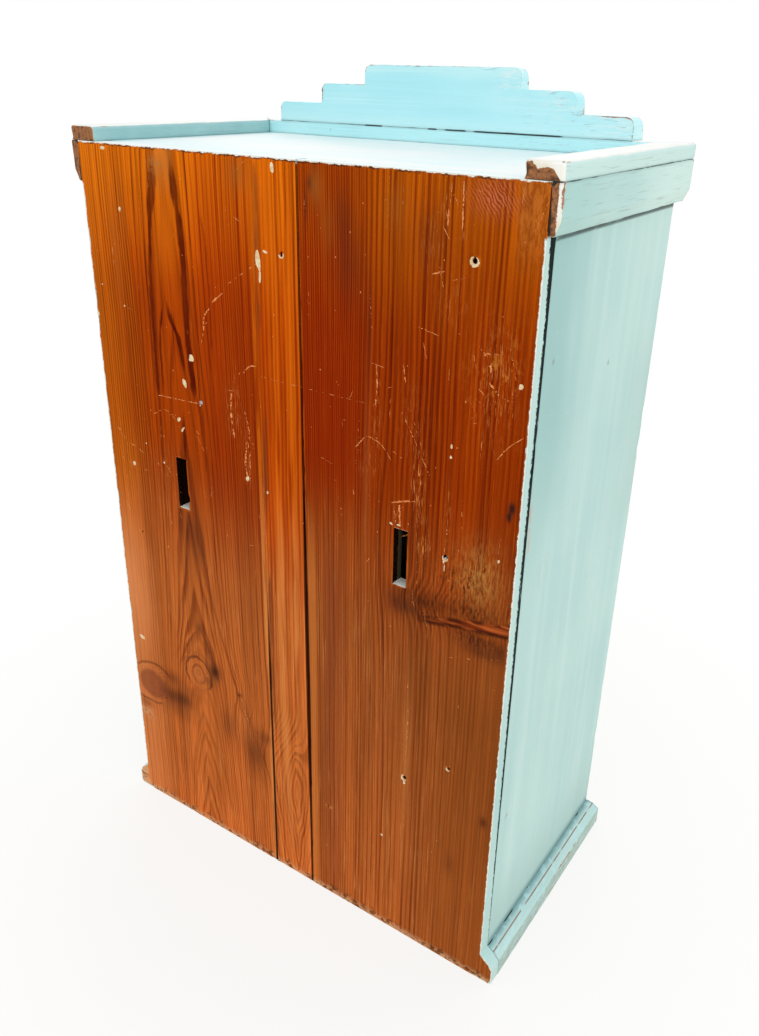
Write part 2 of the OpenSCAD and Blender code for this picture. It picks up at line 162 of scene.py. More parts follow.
class Tree:
    """A material and its node tree. Lengths in it are in millimetres of the row frame."""

    def __init__(self, name):
        self.material = bpy.data.materials.new(name)
        self.material.use_nodes = True
        self.tree = self.material.node_tree
        self.tree.nodes.clear()
        coords = self.add("ShaderNodeTexCoord")
        self.place = coords.outputs["Object"]
        self.x, self.y, self.z = (v * 1000 for v in self.split(self.place))
        self.nx, self.ny, self.nz = self.split(coords.outputs["Normal"])
        self.wander = None

    def add(self, kind, **settings):
        made = self.tree.nodes.new(kind)
        for key, value in settings.items():
            setattr(made, key, value)
        return made

    def feed(self, socket, value):
        if isinstance(value, Num):
            self.tree.links.new(value.socket, socket)
        elif isinstance(value, bpy.types.NodeSocket):
            self.tree.links.new(value, socket)
        else:
            socket.default_value = value

    def math(self, kind, *values, clamp=False):
        made = self.add("ShaderNodeMath", operation=kind, use_clamp=clamp)
        for socket, value in zip(made.inputs, values):
            self.feed(socket, value)
        return Num(self, made.outputs[0])

    def split(self, vector):
        made = self.add("ShaderNodeSeparateXYZ")
        self.feed(made.inputs[0], vector)
        return [Num(self, s) for s in made.outputs]

    def attribute(self, name):
        return Num(self, self.add("ShaderNodeAttribute", attribute_name=name).outputs["Fac"])

    def mapped(self, waves, start):
        """The place, in wave lengths from start. A single wave length holds along X, Y and Z."""
        made = self.add("ShaderNodeMapping")
        waves = waves if isinstance(waves, (tuple, list)) else (waves,) * 3
        for socket, value in (("Vector", self.place), ("Location", start), ("Scale", [1000 / w for w in waves])):
            self.feed(made.inputs[socket], value)
        return made.outputs[0]

    def noise(self, waves, seed, detail=2.0, rough=0.5, warp=0.0):
        """Noise around 0.5 whose features are about as long as waves, in mm along X, Y and Z."""
        made = self.add("ShaderNodeTexNoise")
        self.feed(made.inputs["Vector"], self.mapped(waves, (seed * 7.31, seed * 3.17, seed * 5.73)))
        for socket, value in (("Scale", 1.0), ("Detail", detail), ("Roughness", rough), ("Distortion", warp)):
            made.inputs[socket].default_value = value
        return Num(self, made.outputs[0])

    def spots(self, waves, seed):
        """How far the nearest of many scattered points is, in shares of their spacing."""
        made = self.add("ShaderNodeTexVoronoi")
        self.feed(made.inputs["Vector"], self.mapped(waves, (seed * 5.13, seed * 2.71, seed * 8.37)))
        made.inputs["Scale"].default_value = 1.0
        return Num(self, made.outputs["Distance"])

    def step(self, value, low, high):
        """0 at low and below, 1 at high and above, and the other way round where low is the larger."""
        made = self.add("ShaderNodeMapRange", interpolation_type="SMOOTHSTEP")
        self.feed(made.inputs["Value"], value)
        for socket, v in (("From Min", low), ("From Max", high)):
            self.feed(made.inputs[socket], v)
        return Num(self, made.outputs["Result"])

    def band(self, value, start, end, soft):
        """1 between start and end, with soft sides."""
        return self.step(value, start - soft, start + soft) * self.step(value, end + soft, end - soft)

    def blob(self, x, z, wide, tall, across=None):
        """1 at the point (x, z), falling off over wide and tall. across stands for the place along X."""
        u, w = ((across or self.x) - x) * (1 / wide), (self.z - z) * (1 / tall)
        return self.math("EXPONENT", -(u * u + w * w))

    def far(self, u, v):
        """The length of the vector (u, v)."""
        return self.math("SQRT", u * u + v * v)

    def specks(self, low, high, *noise):
        """1 where noise is above high and 0 where it is below low."""
        return self.step(self.noise(*noise), low, high)

    def sway(self, size, *noise):
        """Noise between about plus and minus size / 2."""
        return (self.noise(*noise) - 0.5) * size

    def curve(self, value, points):
        """A smooth curve through points, and level beyond the first and last."""
        xs, ys = [p[0] for p in points], [p[1] for p in points]
        x0, x1, y0, y1 = min(xs), max(xs), min(ys), max(ys)
        made = self.add("ShaderNodeFloatCurve")
        line = made.mapping.curves[0]
        for i, (px, py) in enumerate(points):
            at = ((px - x0) / (x1 - x0), (py - y0) / (y1 - y0))
            if 0 < i < len(points) - 1:
                line.points.new(*at)
            else:
                line.points[0 if i == 0 else len(line.points) - 1].location = at
        for p in line.points:
            p.handle_type = "AUTO_CLAMPED"
        made.mapping.update()
        self.feed(made.inputs["Value"], (value - x0) * (1 / (x1 - x0)))
        return Num(self, made.outputs[0]) * (y1 - y0) + y0

    def chance(self, value, seed=0.0):
        """A number from 0 to 1 that is the same all over one whole number."""
        made = self.add("ShaderNodeTexWhiteNoise", noise_dimensions="1D")
        self.feed(made.inputs["W"], value + seed)
        return Num(self, made.outputs["Value"])

    def mix(self, share, a, b):
        """Colour a, or colour b where share is 1."""
        made = self.add("ShaderNodeMix", data_type="RGBA")
        self.feed(made.inputs[0], share)
        for socket, value in ((made.inputs[6], a), (made.inputs[7], b)):
            self.feed(socket, srgb(value) if isinstance(value, tuple) and max(value) > 1 else value)
        return made.outputs[2]

    def blend(self, share, a, b):
        """Number a, or number b where share is 1."""
        made = self.add("ShaderNodeMix", data_type="FLOAT")
        for socket, value in ((made.inputs[0], share), (made.inputs[2], a), (made.inputs[3], b)):
            self.feed(socket, value)
        return Num(self, made.outputs[0])

    def scale(self, colour, by):
        """A colour, brighter or darker."""
        made = self.add("ShaderNodeHueSaturation")
        self.feed(made.inputs["Color"], colour)
        self.feed(made.inputs["Value"], by)
        return made.outputs[0]

    def finish(self, colour, rough, height=None, relief=0.1, **fixed):
        """Ends the tree in a surface. relief is what a height of 1 stands for, in mm."""
        surface = self.add("ShaderNodeBsdfPrincipled")
        self.feed(surface.inputs["Base Color"], colour)
        self.feed(surface.inputs["Roughness"], rough)
        for name, value in fixed.items():
            surface.inputs[name.replace("_", " ")].default_value = value
        if height is not None:
            bump = self.add("ShaderNodeBump")
            bump.inputs["Strength"].default_value = 1.0
            bump.inputs["Distance"].default_value = relief * MM
            self.feed(bump.inputs["Height"], height)
            self.tree.links.new(bump.outputs[0], surface.inputs["Normal"])
        end = self.add("ShaderNodeOutputMaterial")
        self.tree.links.new(surface.outputs[0], end.inputs["Surface"])
        return self.material


class Layers:
    """A colour in a material, over which others are laid in turn."""

    def __init__(self, t, colour):
        self.t, self.now = t, colour

    def lay(self, share, tint):
        self.now = self.t.mix(share, self.now, tint)

    def scale(self, by):
        self.now = self.t.scale(self.now, by)


def waves(along, length, across):
    """Wave lengths for streaks that run along an axis."""
    return [length if axis == along else across for axis in "XYZ"]


# ---- Wood ----


def wood(t, rings, along, light, dark, seed):
    """Bare pine. rings grows by 1 with each year, which ends in a dark line of late wood.
    Returns its colour and height."""
    year, count = rings.frac(), rings.floor()
    start = t.chance(count, seed) * 0.46 + 0.3
    late = t.step(year, start, 0.93) * t.step(year, 1.0, 0.955)
    drift = t.noise(waves(along, 190, 9), seed + 4)
    strength = t.chance(count, seed + 0.5) * 0.7 + drift * 1.7 - 0.62
    late = (late * strength.clamp()).clamp()
    fibre = t.noise(waves(along, 55, 0.65), seed + 1, 3, 0.65)
    streak = t.noise(waves(along, 300, 3.6), seed + 2, 3, 0.6)
    pore = t.specks(0.6, 0.72, waves(along, 8, 0.4), seed + 3)
    colour = t.mix(late, light, dark)
    colour = t.scale(colour, 0.5 + fibre * 0.52 + streak * 0.52 - pore * 0.13)
    return colour, late * 0.5 + fibre * 0.5 - pore * 0.5


def old_pine(t, rings, light, dark, glow, seed):
    """Waxed pine that has gone dark: soft broad bands, fine lines between them, and a mottled, fibrous surface.
    glow is the colour of its bright fibres. Returns its colour and height."""
    year, count = rings.frac(), rings.floor()
    start = t.chance(count, seed) * 0.5 + 0.04
    late = t.step(year, start, start + 0.5) * t.step(year, 1.0, 0.84)
    drift = t.noise(waves("Z", 150, 8), seed + 4)
    late = late * (t.chance(count, seed + 0.5) * 0.62 + drift * 1.5 - 0.44).clamp()
    between = t.noise(waves("Z", 150, 1.25), seed + 6, 2, 0.55)
    fibre = t.noise(waves("Z", 26, 0.42), seed + 1, 3, 0.68)
    streak = t.noise(waves("Z", 210, 3.2), seed + 2, 3, 0.62)
    grit = t.noise((0.55, 0.55, 0.8), seed + 3, 3, 0.72)
    colour = t.mix((late * 0.72 + t.step(between, 0.52, 0.66) * 0.34).clamp(), light, dark)
    colour = t.scale(colour, fibre * 0.62 + streak * 0.62 + grit * 0.56 + 0.1)
    bright = t.specks(0.55, 0.7, waves("Z", 42, 0.75), seed + 7, 3, 0.62)
    patchy = t.noise((22, 22, 60), seed + 8)
    colour = t.mix(bright * (patchy * 1.5 - 0.3).clamp(), colour, glow)
    return colour, late * 0.4 + fibre * 0.6 + grit * 0.3


def heart_rings(t, along, heart, lean, pitch, seed):
    """Years counted from a tree's heart, a line along an axis through the point heart (in mm), leaning a little."""
    a = "XYZ".index(along)
    where = (t.x, t.y, t.z)
    run = where[a]
    u, v = (where[i] - heart[i] for i in range(3) if i != a)
    sway = t.sway(5.0, waves(along, 180, 60), seed + 5) * 2
    u, v = u + run * lean[0] + sway, v + run * lean[1]
    return t.far(u, v) * (1 / pitch)


def end_grain(t, rings, seed):
    """The colour and height of pine cut across, rough and dirty."""
    year = rings.frac()
    late = t.step(year, 0.4, 0.9) * t.step(year, 1.0, 0.95)
    rough = t.noise(1.1, seed + 8, 4, 0.72)
    dirt = t.noise(4, seed + 9, 4, 0.62)
    colour = t.mix(late * 0.4, (164, 108, 66), (116, 70, 38))
    colour = t.mix(t.step(dirt, 0.48, 0.64) * 0.8, colour, (66, 38, 22))
    speck = t.noise(0.7, seed + 10, 3, 0.75)
    return t.scale(colour, rough * 0.9 + speck * 1.2 - 0.1), rough * 2.4 + speck - late * 0.5 - dirt


# ---- Paint ----


class Coat:
    """Brushed paint over wood: its colour, roughness and height, and where it is worn through.
    seam(t, gap) says where the dark line shows in which the piece meets its neighbour, gap mm away."""

    def __init__(self, t, along, seed, base, blue, pale, wear=1.0, seam=None):
        self.t, self.seed = t, seed
        streak = t.noise(waves(along, 120, 1.1), seed + 11, 3, 0.6)
        lap = t.noise(waves(along, 260, 12), seed + 12)
        patch = t.noise(80, seed + 13)
        stipple = t.noise(1.7, seed + 14, 3)
        colour = t.mix(t.step(patch * 0.65 + lap * 0.35, 0.34, 0.66), blue, base)
        colour = t.mix(t.step(lap * 0.6 + streak * 0.4, 0.44, 0.76) * 0.45, colour, pale)
        self.colour = t.scale(colour, 0.93 + streak * 0.11 + stipple * 0.03)
        self.height = streak * 1.1 + lap * 0.6 + stipple * 0.35
        self.rough = 0.42 + streak * 0.16 + patch * 0.1
        away = NEAR_MM - t.attribute("near")
        joint = t.attribute("joint")
        gap = (1 - joint) * JOINT_MM
        free = t.step(gap, 0.3, 2.2)
        length = t.noise(waves(along, 60, 8), seed + 15)
        fine = t.noise(waves(along, 7, 1.5), seed + 19, 3, 0.65)
        reach = (length - 0.5) * 5.2 * wear + (fine - 0.5) * 2.6 - 0.18
        self.bare = t.step(reach - away, 0.0, 0.22) * free
        self.thin = t.step(reach + 0.3 - away, 0.0, 0.35) * free
        self.crack = seam(t, gap) if seam else gap * 0.0
        # Darkening along joints where a neighbour lies close: dirt, and painted shade between the pieces.
        self.grime = t.step(gap, 1.8, 0.0) * (0.35 + fine * 0.5)

    def over(self, colour, height, bare, dirt=0.5):
        """Lays the paint over a wood of this colour and height, which shows where bare is 1. dirt sets how strong the
        darkening along joints is: dirt, and painted shade.
        """
        t = self.t
        wood_shows = self.bare.max(bare)
        near = t.spots(23, self.seed + 17)
        skin = t.mix(self.grime * dirt, self.colour, GRIME_AND_SHADE)
        skin = t.mix(t.step(near, 0.035, 0.015) * 0.5, skin, (138, 152, 146))
        skin = t.mix(self.thin * 0.7, skin, PRIMER)
        out = t.mix(wood_shows, skin, colour)
        out = t.mix(self.crack * 0.94, out, CRACK)
        self.final_height = t.blend(wood_shows, self.height + 1.4, height) - self.crack * 3
        self.final_rough = t.blend(wood_shows, self.rough, 0.75).max(self.crack * 0.9)
        return out


def painted(name, along, seed, tone="side", wear=1.0, bare=None, heart=(0.0, 0.0, 0.0), tune=None, seam=None,
            dirt=0.5):
    """A painted piece of pine. bare(t) says where it was never painted, and tune(t, look) changes the paint."""
    t = Tree(name)
    base, blue, pale = {
        "side": (PAINT_SIDE, PAINT_SIDE_BLUE, PAINT_SIDE_PALE),
        # The "top" and "tray" tones are the side's paint made lighter, as painted light.
        "top": (PAINT_LIT_TOP, PAINT_LIT_TOP_BLUE, PAINT_LIT_TOP_PALE),
        "tray": (PAINT_LIT_TRAY, (226, 241, 242), (240, 243, 240)),
    }[tone]
    coat = Coat(t, along, seed, base, blue, pale, wear, seam)
    if tune:
        look = Layers(t, coat.colour)
        tune(t, look)
        coat.colour = look.now
    rings = heart_rings(t, along, heart, (0.012, -0.02), 2.9, seed)
    colour, height = wood(t, rings, along, PINE_LIGHT, PINE_DARK, seed)
    never = gone = t.nx * 0.0
    if bare:
        never = bare(t)
        cut_colour, cut_height = end_grain(t, rings, seed)
        axis = {"X": t.nx, "Y": t.ny, "Z": t.nz}[along]
        gone = t.step(axis.abs(), 0.6, 0.8)
        colour = t.mix(gone, colour, cut_colour)
        height = t.blend(gone, height, cut_height)
    rubbed = t.mix(t.noise(5, seed + 20, 3), (206, 158, 134), (132, 82, 62))
    colour = t.mix(never, rubbed, colour)
    out = coat.over(colour, height, never, dirt)
    return t.finish(out, coat.final_rough, coat.final_height, 0.12, Specular_IOR_Level=0.32)


def bare_pine(name, along, seed, heart):
    """Bare pine inside the cupboard."""
    t = Tree(name)
    rings = heart_rings(t, along, heart, (0.03, -0.015), 3.4, seed)
    colour, height = wood(t, rings, along, PINE_LIGHT, PINE_DARK, seed)
    look = Layers(t, colour)
    cut_colour, cut_height = end_grain(t, rings, seed)
    axis = {"X": t.nx, "Y": t.ny, "Z": t.nz}[along]
    cut = t.step(axis.abs(), 0.6, 0.8)
    look.lay(cut, cut_colour)
    near = t.attribute("near")
    dirt = t.noise(14, seed + 30, 4, 0.6)
    look.lay(t.step(near * 0.12 + dirt, 0.75, 1.25) * 0.7, (92, 60, 38))
    stain = t.specks(0.52, 0.7, 60, seed + 31, 3)
    look.lay(stain * 0.3, (130, 86, 52))
    return t.finish(look.now, 0.55 + dirt * 0.2, t.blend(cut, height, cut_height), 0.1, Specular_IOR_Level=0.25)


# ---- The back ----

# Lines in the grain of the right board: points (x, z), width and strength.
FLAME_STROKES = (
    (((93, 496), (95, 478), (100, 456)), 6.5, 0.85), (((97, 470), (101, 440), (103, 410), (104, 345)), 2.6, 0.85),
    (((78, 496), (77, 480), (75, 462)), 6.0, 0.9), (((76, 474), (73, 440), (74, 405), (71, 350)), 5.0, 0.95),
    (((90.5, 415), (96, 398), (98.5, 382), (99, 350)), 1.8, 0.9),
    (((90.5, 415), (87, 402), (81, 388), (79, 366)), 3.4, 1.0), (((83, 346), (83, 330), (84, 308)), 2.2, 0.8),
    (((70, 362), (66, 330), (65, 300)), 1.8, 0.55), (((57, 470), (54, 420), (54, 380)), 1.2, 0.55),
)
RING_STROKES = (
    (((83, 272), (91, 235), (96, 200), (103, 162), (113, 144)), 1.3, 0.5),
    (((81, 272), (73, 235), (65, 195), (52, 152), (43, 122), (25, 112)), 1.3, 0.5),
    (((82, 183), (92, 170), (101, 152), (108, 138)), 2.0, 0.75),
    (((83, 183), (77, 172), (71, 156), (68, 140)), 3.0, 0.85), (((88, 165), (80, 157), (74, 146)), 1.5, 0.6),
    (((88, 165), (95, 156), (101, 144)), 1.5, 0.6), (((87, 246), (97, 205), (108, 160)), 1.0, 0.5),
    (((78, 240), (60, 180), (49, 142), (30, 108)), 1.0, 0.5),
    (((60, 215), (46, 150), (33, 104), (20, 80)), 0.9, 0.45), (((84, 98), (96, 62), (100, 20)), 1.1, 0.45),
    (((82, 98), (68, 62), (60, 20)), 1.1, 0.45), (((83, 74), (89, 50), (90, 18)), 1.0, 0.4),
)
KNOT_ARCS = (
    (((116, 121), (124, 128), (134, 130), (146, 127), (156, 120)), 2.0, 0.66),
    (((128, 96), (138, 93), (147, 93), (156, 95)), 1.8, 0.66),
)
# Soft dark, dull and scuffed places on the right and left boards: x, z, width, height and strength.
RIGHT_STAINS = (
    (115, 125, 8, 6, 0.5), (119, 108, 9, 8, 0.6), (148, 88, 7, 4, 0.45), (70.5, 149, 6, 7.5, 0.9),
    (76, 138, 5, 5, 0.45), (105, 110, 9, 6, 0.55), (108, 108, 13, 9, 0.45), (47, 139, 1.8, 1.6, 0.95),
    (96, 120, 10, 6, 0.32), (35, 94, 10, 18, 0.55), (60, 108, 7, 14, 0.4), (24, 112, 8, 6, 0.4),
    (80, 256, 7, 20, 0.5), (92, 262, 4, 12, 0.25), (112, 96, 14, 7, 0.28), (83, 181, 4, 6, 0.55),
    (77, 165, 3, 10, 0.35),
)
LEFT_STAINS = (
    (-82, 263, 7, 9, 0.6), (-150, 342, 1.8, 3.2, 1.3), (-148.8, 337, 1.3, 3, 1.3), (-150, 255, 3, 5, 0.5),
    (-90, 261, 7, 4, 0.45), (-136, 256, 14, 4, 0.35), (-28, 120, 6, 60, 0.28), (-22, 489, 2, 4, 0.7),
    (-19.5, 478, 1.2, 9, 0.5), (-60, 420, 1.6, 30, 0.35), (-43, 475, 6, 14, 0.3), (-149, 132, 2.4, 4, 0.7),
    (-128, 85, 4, 9, 0.3), (-47, 452, 9, 22, 0.35), (-95, 470, 10, 16, 0.25), (-140, 250, 14, 4, 0.5),
)
RIGHT_DULL = (
    (28, 490, 7, 9, 0.5), (131, 440, 4, 34, 0.34), (122, 462, 3, 20, 0.25), (90, 488, 6, 9, 0.35),
)
LEFT_DULL = (
    (-26, 488, 4, 9, 0.6), (-33, 470, 5, 14, 0.25), (-75, 482, 6, 12, 0.3),
)
RIGHT_SCUFFS = (
    (36, 356, 3.5, 20, 0.8), (43, 352, 2.5, 16, 0.7), (29, 330, 3, 18, 0.7), (30, 311, 3, 5, 1.0),
    (140, 296, 8, 18, 0.4), (100, 300, 8, 12, 0.4),
)
LEFT_SCUFFS = (
    (-94, 340, 4, 22, 1.5), (-99, 305, 4, 12, 1.4), (-66, 372, 3, 22, 0.7), (-60, 345, 8, 12, 0.5),
    (-80, 318, 2.5, 8, 1.0), (-103, 484, 1.6, 16, 1.0), (-113, 480, 1.5, 16, 0.8), (-95, 470, 6, 14, 0.5),
    (-136, 405, 10, 24, 0.9), (-88, 375, 8, 20, 0.4), (-108, 440, 8, 12, 0.5), (-113, 330, 2, 14, 0.8),
)


def fine_lines(look, start, end, pitch, seed, dark, light, share, zone=1.0):
    """Close dark and bright lines between two x's, none quite like the next."""
    t = look.t
    place = (t.x + t.sway(5, (40, 60, 160), seed, 1)) * (1 / pitch) + t.sway(0.9, (7, 50, 60), seed + 1)
    along = t.noise(waves("Z", 90, pitch), seed + 2)
    strength = (t.chance(place.floor(), seed) * 0.8 + along * 1.4 - 0.55).clamp()
    wave = (place.frac() - 0.5).abs()
    zone = t.band(t.x, start, end, 6) * zone
    look.lay(t.step(wave, 0.3, 0.06) * strength * zone * share, dark)
    look.lay(t.step(wave, 0.3, 0.48) * strength * zone * share * 0.62, light)


def scuff(look, places):
    """Patches of short light streaks along the grain: x, z, width, height and strength."""
    t = look.t
    streaks = t.specks(0.53, 0.66, waves("Z", 9, 0.55), 97, 3, 0.65)
    for x, z, wide, tall, share in places:
        look.lay(t.blob(x, z, wide, tall) * streaks * share * 0.6, (240, 160, 84))


def along_line(t, run, off, points, wide, soft, fade):
    """1 along a curve through points (run, off), which thins out over fade mm at its ends."""
    ends = t.band(run, points[0][0] + fade / 2, points[-1][0] - fade / 2, fade)
    return t.step((off - t.curve(run, points)).abs() - ends * wide / 2, soft, -soft) * ends


def stroke(t, points, wide, soft=0.7):
    """1 along a line up the grain through points (x, z)."""
    if not t.wander:
        t.wander = t.sway(2.6, (12, 50, 34), 90) + t.sway(2.4, (2.5, 50, 9), 99, 3)
    return along_line(t, t.z, t.x + t.wander, sorted((z, x) for x, z in points), wide, soft, 9.0)


def arc(t, points, wide, soft):
    """As stroke, for a line across the grain."""
    return along_line(t, t.x, t.z + t.sway(2.0, (10, 50, 10), 91), sorted(points), wide, soft, 3.0)


def ring_far(t, x, z, flat):
    """How far a point is from the middle of an eye in the grain, in mm, unevenly."""
    u, v = t.x - x, (t.z - z) * flat
    return t.far(u, v) + t.sway(4, (7, 50, 7), 7)


def right_board_rings(t):
    """Years across the back's right board: a tall flame of wide rings up its middle, and a knot at its outer edge."""
    sway = t.sway(5, (300, 400, 150), 3, 1)
    ripple = t.sway(0.9, (8, 50, 90), 4)
    w = (t.x - 85 + sway).abs()
    rings = t.curve(w, [(0, 0), (8, 0.75), (15, 1.75), (25, 4.6), (45, 11.2), (76, 22.5)])
    rise = t.curve(t.z, [(0, -11), (60, -8.5), (112, -6), (162, -3.5), (185, -2), (272, 0), (344, 1), (409, 2),
                         (510, 3.05)])
    hold = t.curve(w, [(0, 1), (18, 0.85), (34, 0.45), (50, 0.2), (76, 0.06)])
    rings = rings + rise * hold + ripple
    rough = t.sway(6, (9, 50, 9), 5, 3)
    for x, z, flat, size, pitch in ((87, 142, 0.78, 15, 3.3), (139, 110, 1.05, 20, 2.6)):
        u, v = t.x - x, (t.z - z) * flat
        far = t.far(u, v) + rough * 0.4
        rings = t.blend(t.step(far, size, size * 0.62), rings, far * (1 / pitch) + 0.2)
    swirl = t.sway(5, (14, 50, 22), 6)
    return rings + swirl * t.blob(38, 112, 20, 40) - t.blob(48, 142, 9, 16) * 1.8 + t.blob(22, 96, 12, 16) * 3.2


def middle_board_rings(t):
    """Years across the back's narrow board: straight above, and waving at the foot."""
    ripple = t.sway(1.8, (9, 50, 130), 14)
    w = (t.x + 3 + t.sway(7, 60, 15, 1)).abs()
    flame = w * (1 / 2.9) - t.z * (1 / 19) + t.sway(1.9, (12, 50, 26), 16)
    straight = (t.x + 16) * (1 / 3.0) + ripple
    return t.blend(t.step(t.z, 150, 70), straight, flame)


def left_board_rings(t):
    """Years across the back's left board: close and straight, bending round a knot that runs out to its edge."""
    ripple = t.sway(0.8, (6, 50, 120), 24)
    sway = t.sway(3, (300, 300, 200), 25, 1)
    rings = t.curve(-t.x + sway, [(10, 0), (56, 25), (76, 31), (105, 39), (160, 60)]) + ripple
    return rings + t.blob(-74, 300, 20, 60) * 1.6 + t.blob(-104, 268, 22, 12) * 1.5 + t.blob(-132, 272, 26, 9) * 1.6


def spike_knot(t):
    """Where the knot that runs out to the left board's edge lies, and its dark outline."""
    out = -t.x - 97
    middle = 257.4 + out * 0.215 + t.sway(3, (14, 50, 14), 33)
    half = out * 0.048 + 0.8
    off = (t.z - middle).abs()
    inside = t.step(off - half, 0.9, -0.5) * t.step(out, 0, 10)
    rim = t.step((off - half).abs(), 2.6, 0.2) * t.step(out, -4, 8)
    return inside, rim


def back_paint_laps(t, away, seed):
    """Paint that ran round onto the back, as a ragged line along the top and both sides, and the dark broken line
    under the top one."""
    ragged = t.noise(4, seed, 4, 0.7) - 0.5
    head = t.z + ragged * 3.2 - TOP_Z
    side = t.step(away + ragged * 2.6, 1.1, 0.7) * t.step(t.x.abs(), HALF_W - 6, HALF_W - 5) * t.step(
        t.z, FASCIA_Z, FASCIA_Z - 2)
    line = t.step((head + 1.1).abs(), 0.6, 0.2) * dashes(t, "X", 9, seed + 1, 0.44, 0.56)
    return t.step(head, -0.9, -0.5).max(side), line


def back_material(name, rings_of, seed, marks, tone=1.0):
    """A back board: honey-coloured at its head, dark red in its middle and brown at its foot.
    marks(t, look) adds the board's own knots, strokes and stains."""
    t = Tree(name)
    rings = rings_of(t)
    drift = t.noise((90, 90, 170), seed) - 0.5
    z = t.z + drift * 80
    low = t.step(z, 345, 200)
    light = t.mix(t.step(z, 405, 505), BACK_RED, BACK_HONEY)
    light = t.mix(low, light, BACK_BROWN)
    dark = t.mix(low, BACK_LATE, BACK_BROWN_LATE)
    glow = t.mix(low, (224, 108, 14), (224, 146, 84))
    colour, height = old_pine(t, rings, light, dark, glow, seed)
    look = Layers(t, colour)
    band = t.noise(waves("Z", 420, 11), seed + 45)
    cloud = t.noise((60, 60, 130), seed + 40, 3, 0.6)
    # Dark across the middle, lighter towards the head and the foot.
    shade = t.curve(t.z, [(0, 1.34), (50, 1.22), (150, 1.04), (300, 0.88), (400, 0.94), (510, 1.1)])
    look.scale(shade * tone * (0.42 + band * 0.66 + cloud * 0.5))
    marks(t, look)
    torn = t.noise(5, seed + 41, 4, 0.72)
    ear = t.step(t.x + (torn - 0.5) * 12, HALF_W - 1, HALF_W + 1) * t.step(t.z, FASCIA_Z, FASCIA_Z - 5)
    fringe = t.step(t.z + (torn - 0.5) * 24, 7.5, 2).max(ear)
    look.lay(fringe * 0.78, t.mix(t.step(torn, 0.42, 0.52), (112, 66, 34), (224, 178, 134)))
    joint = t.attribute("joint")
    away = NEAR_MM - t.attribute("near")
    gap = (1 - joint) * JOINT_MM
    outer = t.step(t.ny, 0.45, 0.75)
    # The arrises along the joints are pale where they are rubbed. One joint is open, the other only at its foot.
    patch_noise = t.specks(0.42, 0.58, waves("Z", 46, 3), seed + 43, 3, 0.6)
    look.lay(t.step(away, 1.9, 0.5) * patch_noise * 0.5, t.mix(low, (212, 104, 16), (226, 142, 72)))
    wide = t.curve(t.z, [(0, 0.45), (80, 0.65), (170, 1.15), (240, 1.05), (330, 0.4), (510, 0.26)])
    open_one = t.step(t.x, 2, -2)
    dark_to = open_one * (wide + 0.4) + t.step(t.z, 240, 170) * (1 - open_one) * 0.95 - 0.4
    look.lay(t.step(gap - dark_to, 0.25, -0.15) * 0.92, t.mix(low, (52, 14, 4), (36, 10, 6)))
    # Inside the slots and on the hidden face. The slots' walls are near black, dark old wood with rust specks and
    # painted shade; on the left board their deeper part is olive, painted light standing for the dimly lit inside seen
    # through the slot.
    inner = t.step(t.ny, -0.4, -0.7)
    raw, _ = wood(t, rings, "Z", (206, 148, 96), (160, 96, 52), seed + 50)
    look.lay(inner, raw)
    walls = t.step(outer + inner, 0.5, 0.2)
    in_slot = walls * t.step(t.x.abs(), HALF_W - 8, HALF_W - 10) * t.step((t.z - SLOT_Z).abs(), 24, 21)
    sill = in_slot * t.step(t.nz, 0.3, 0.5)
    # Olive on the left board's deeper slot walls is painted light: the dimly lit inside seen through the slot.
    deep = t.step(t.y + t.noise(3, seed + 44, 3) * 2, BACK_Y - 3.4, BACK_Y - 4.4)
    rust = t.specks(0.52, 0.66, 1.2, seed + 47, 3)
    black = t.mix(rust * 0.8, (15, 8, 6), (64, 22, 12))
    look.lay(in_slot, t.mix(deep, black, (92, 84, 62) if "left" in name else (40, 18, 12)))
    look.lay(sill, (254, 252, 244))
    # The insides of holes and joints, and the paint on the edges and where it ran round.
    side_zone = t.step(t.x.abs(), HALF_W - 4, HALF_W - 3)
    painted_side = side_zone * t.step(t.z, FASCIA_Z + 1, FASCIA_Z - 1)
    rim_zone = painted_side.max(t.step(t.z, TOP_Z - 3, TOP_Z - 2))
    hollow = (1 - inner) * (1 - in_slot) * (1 - rim_zone) * t.step(t.z, 2, 4)
    look.lay(hollow * t.step(t.y, BACK_Y - 0.7, BACK_Y - 1.5), (24, 10, 6))
    coat = Coat(t, "Z", seed + 60, PAINT_SIDE, PAINT_SIDE_BLUE, PAINT_SIDE_PALE, 0.5, side_seam)
    edge = walls * (1 - in_slot) * t.step(t.nz, -0.6, -0.4) * rim_zone
    lap, line = back_paint_laps(t, away, seed + 61)
    lap, line = lap * outer, line * outer
    look.lay(line * 0.8, (66, 34, 18))
    white = t.mix(t.noise(6, seed + 62, 3), (255, 254, 251), (244, 238, 222))
    # The boards' top faces are near white like the tray, as painted light.
    upper = t.step(t.nz, 0.4, 0.7) * t.step(t.z, TOP_Z - 4, TOP_Z - 3)
    skin = t.mix(lap * 0.9, t.mix(upper, coat.colour, (240, 246, 246)), white)
    skin = t.mix(coat.crack, skin, CRACK)
    on = edge.max(lap).clamp()
    look.lay(on, skin)
    height = t.blend(on, height, coat.height + 2.4)
    rough = 0.52 + cloud * 0.22 + low * 0.08
    return t.finish(look.now, t.blend(on, rough, 0.55), height, 0.11, Specular_IOR_Level=0.02)


def stains(look, places, tint=BACK_SMOKE):
    """Soft dark places: x, z, width, height and strength."""
    t = look.t
    for x, z, wide, tall, share in places:
        look.lay((t.blob(x, z, wide, tall) * share).clamp(), tint)


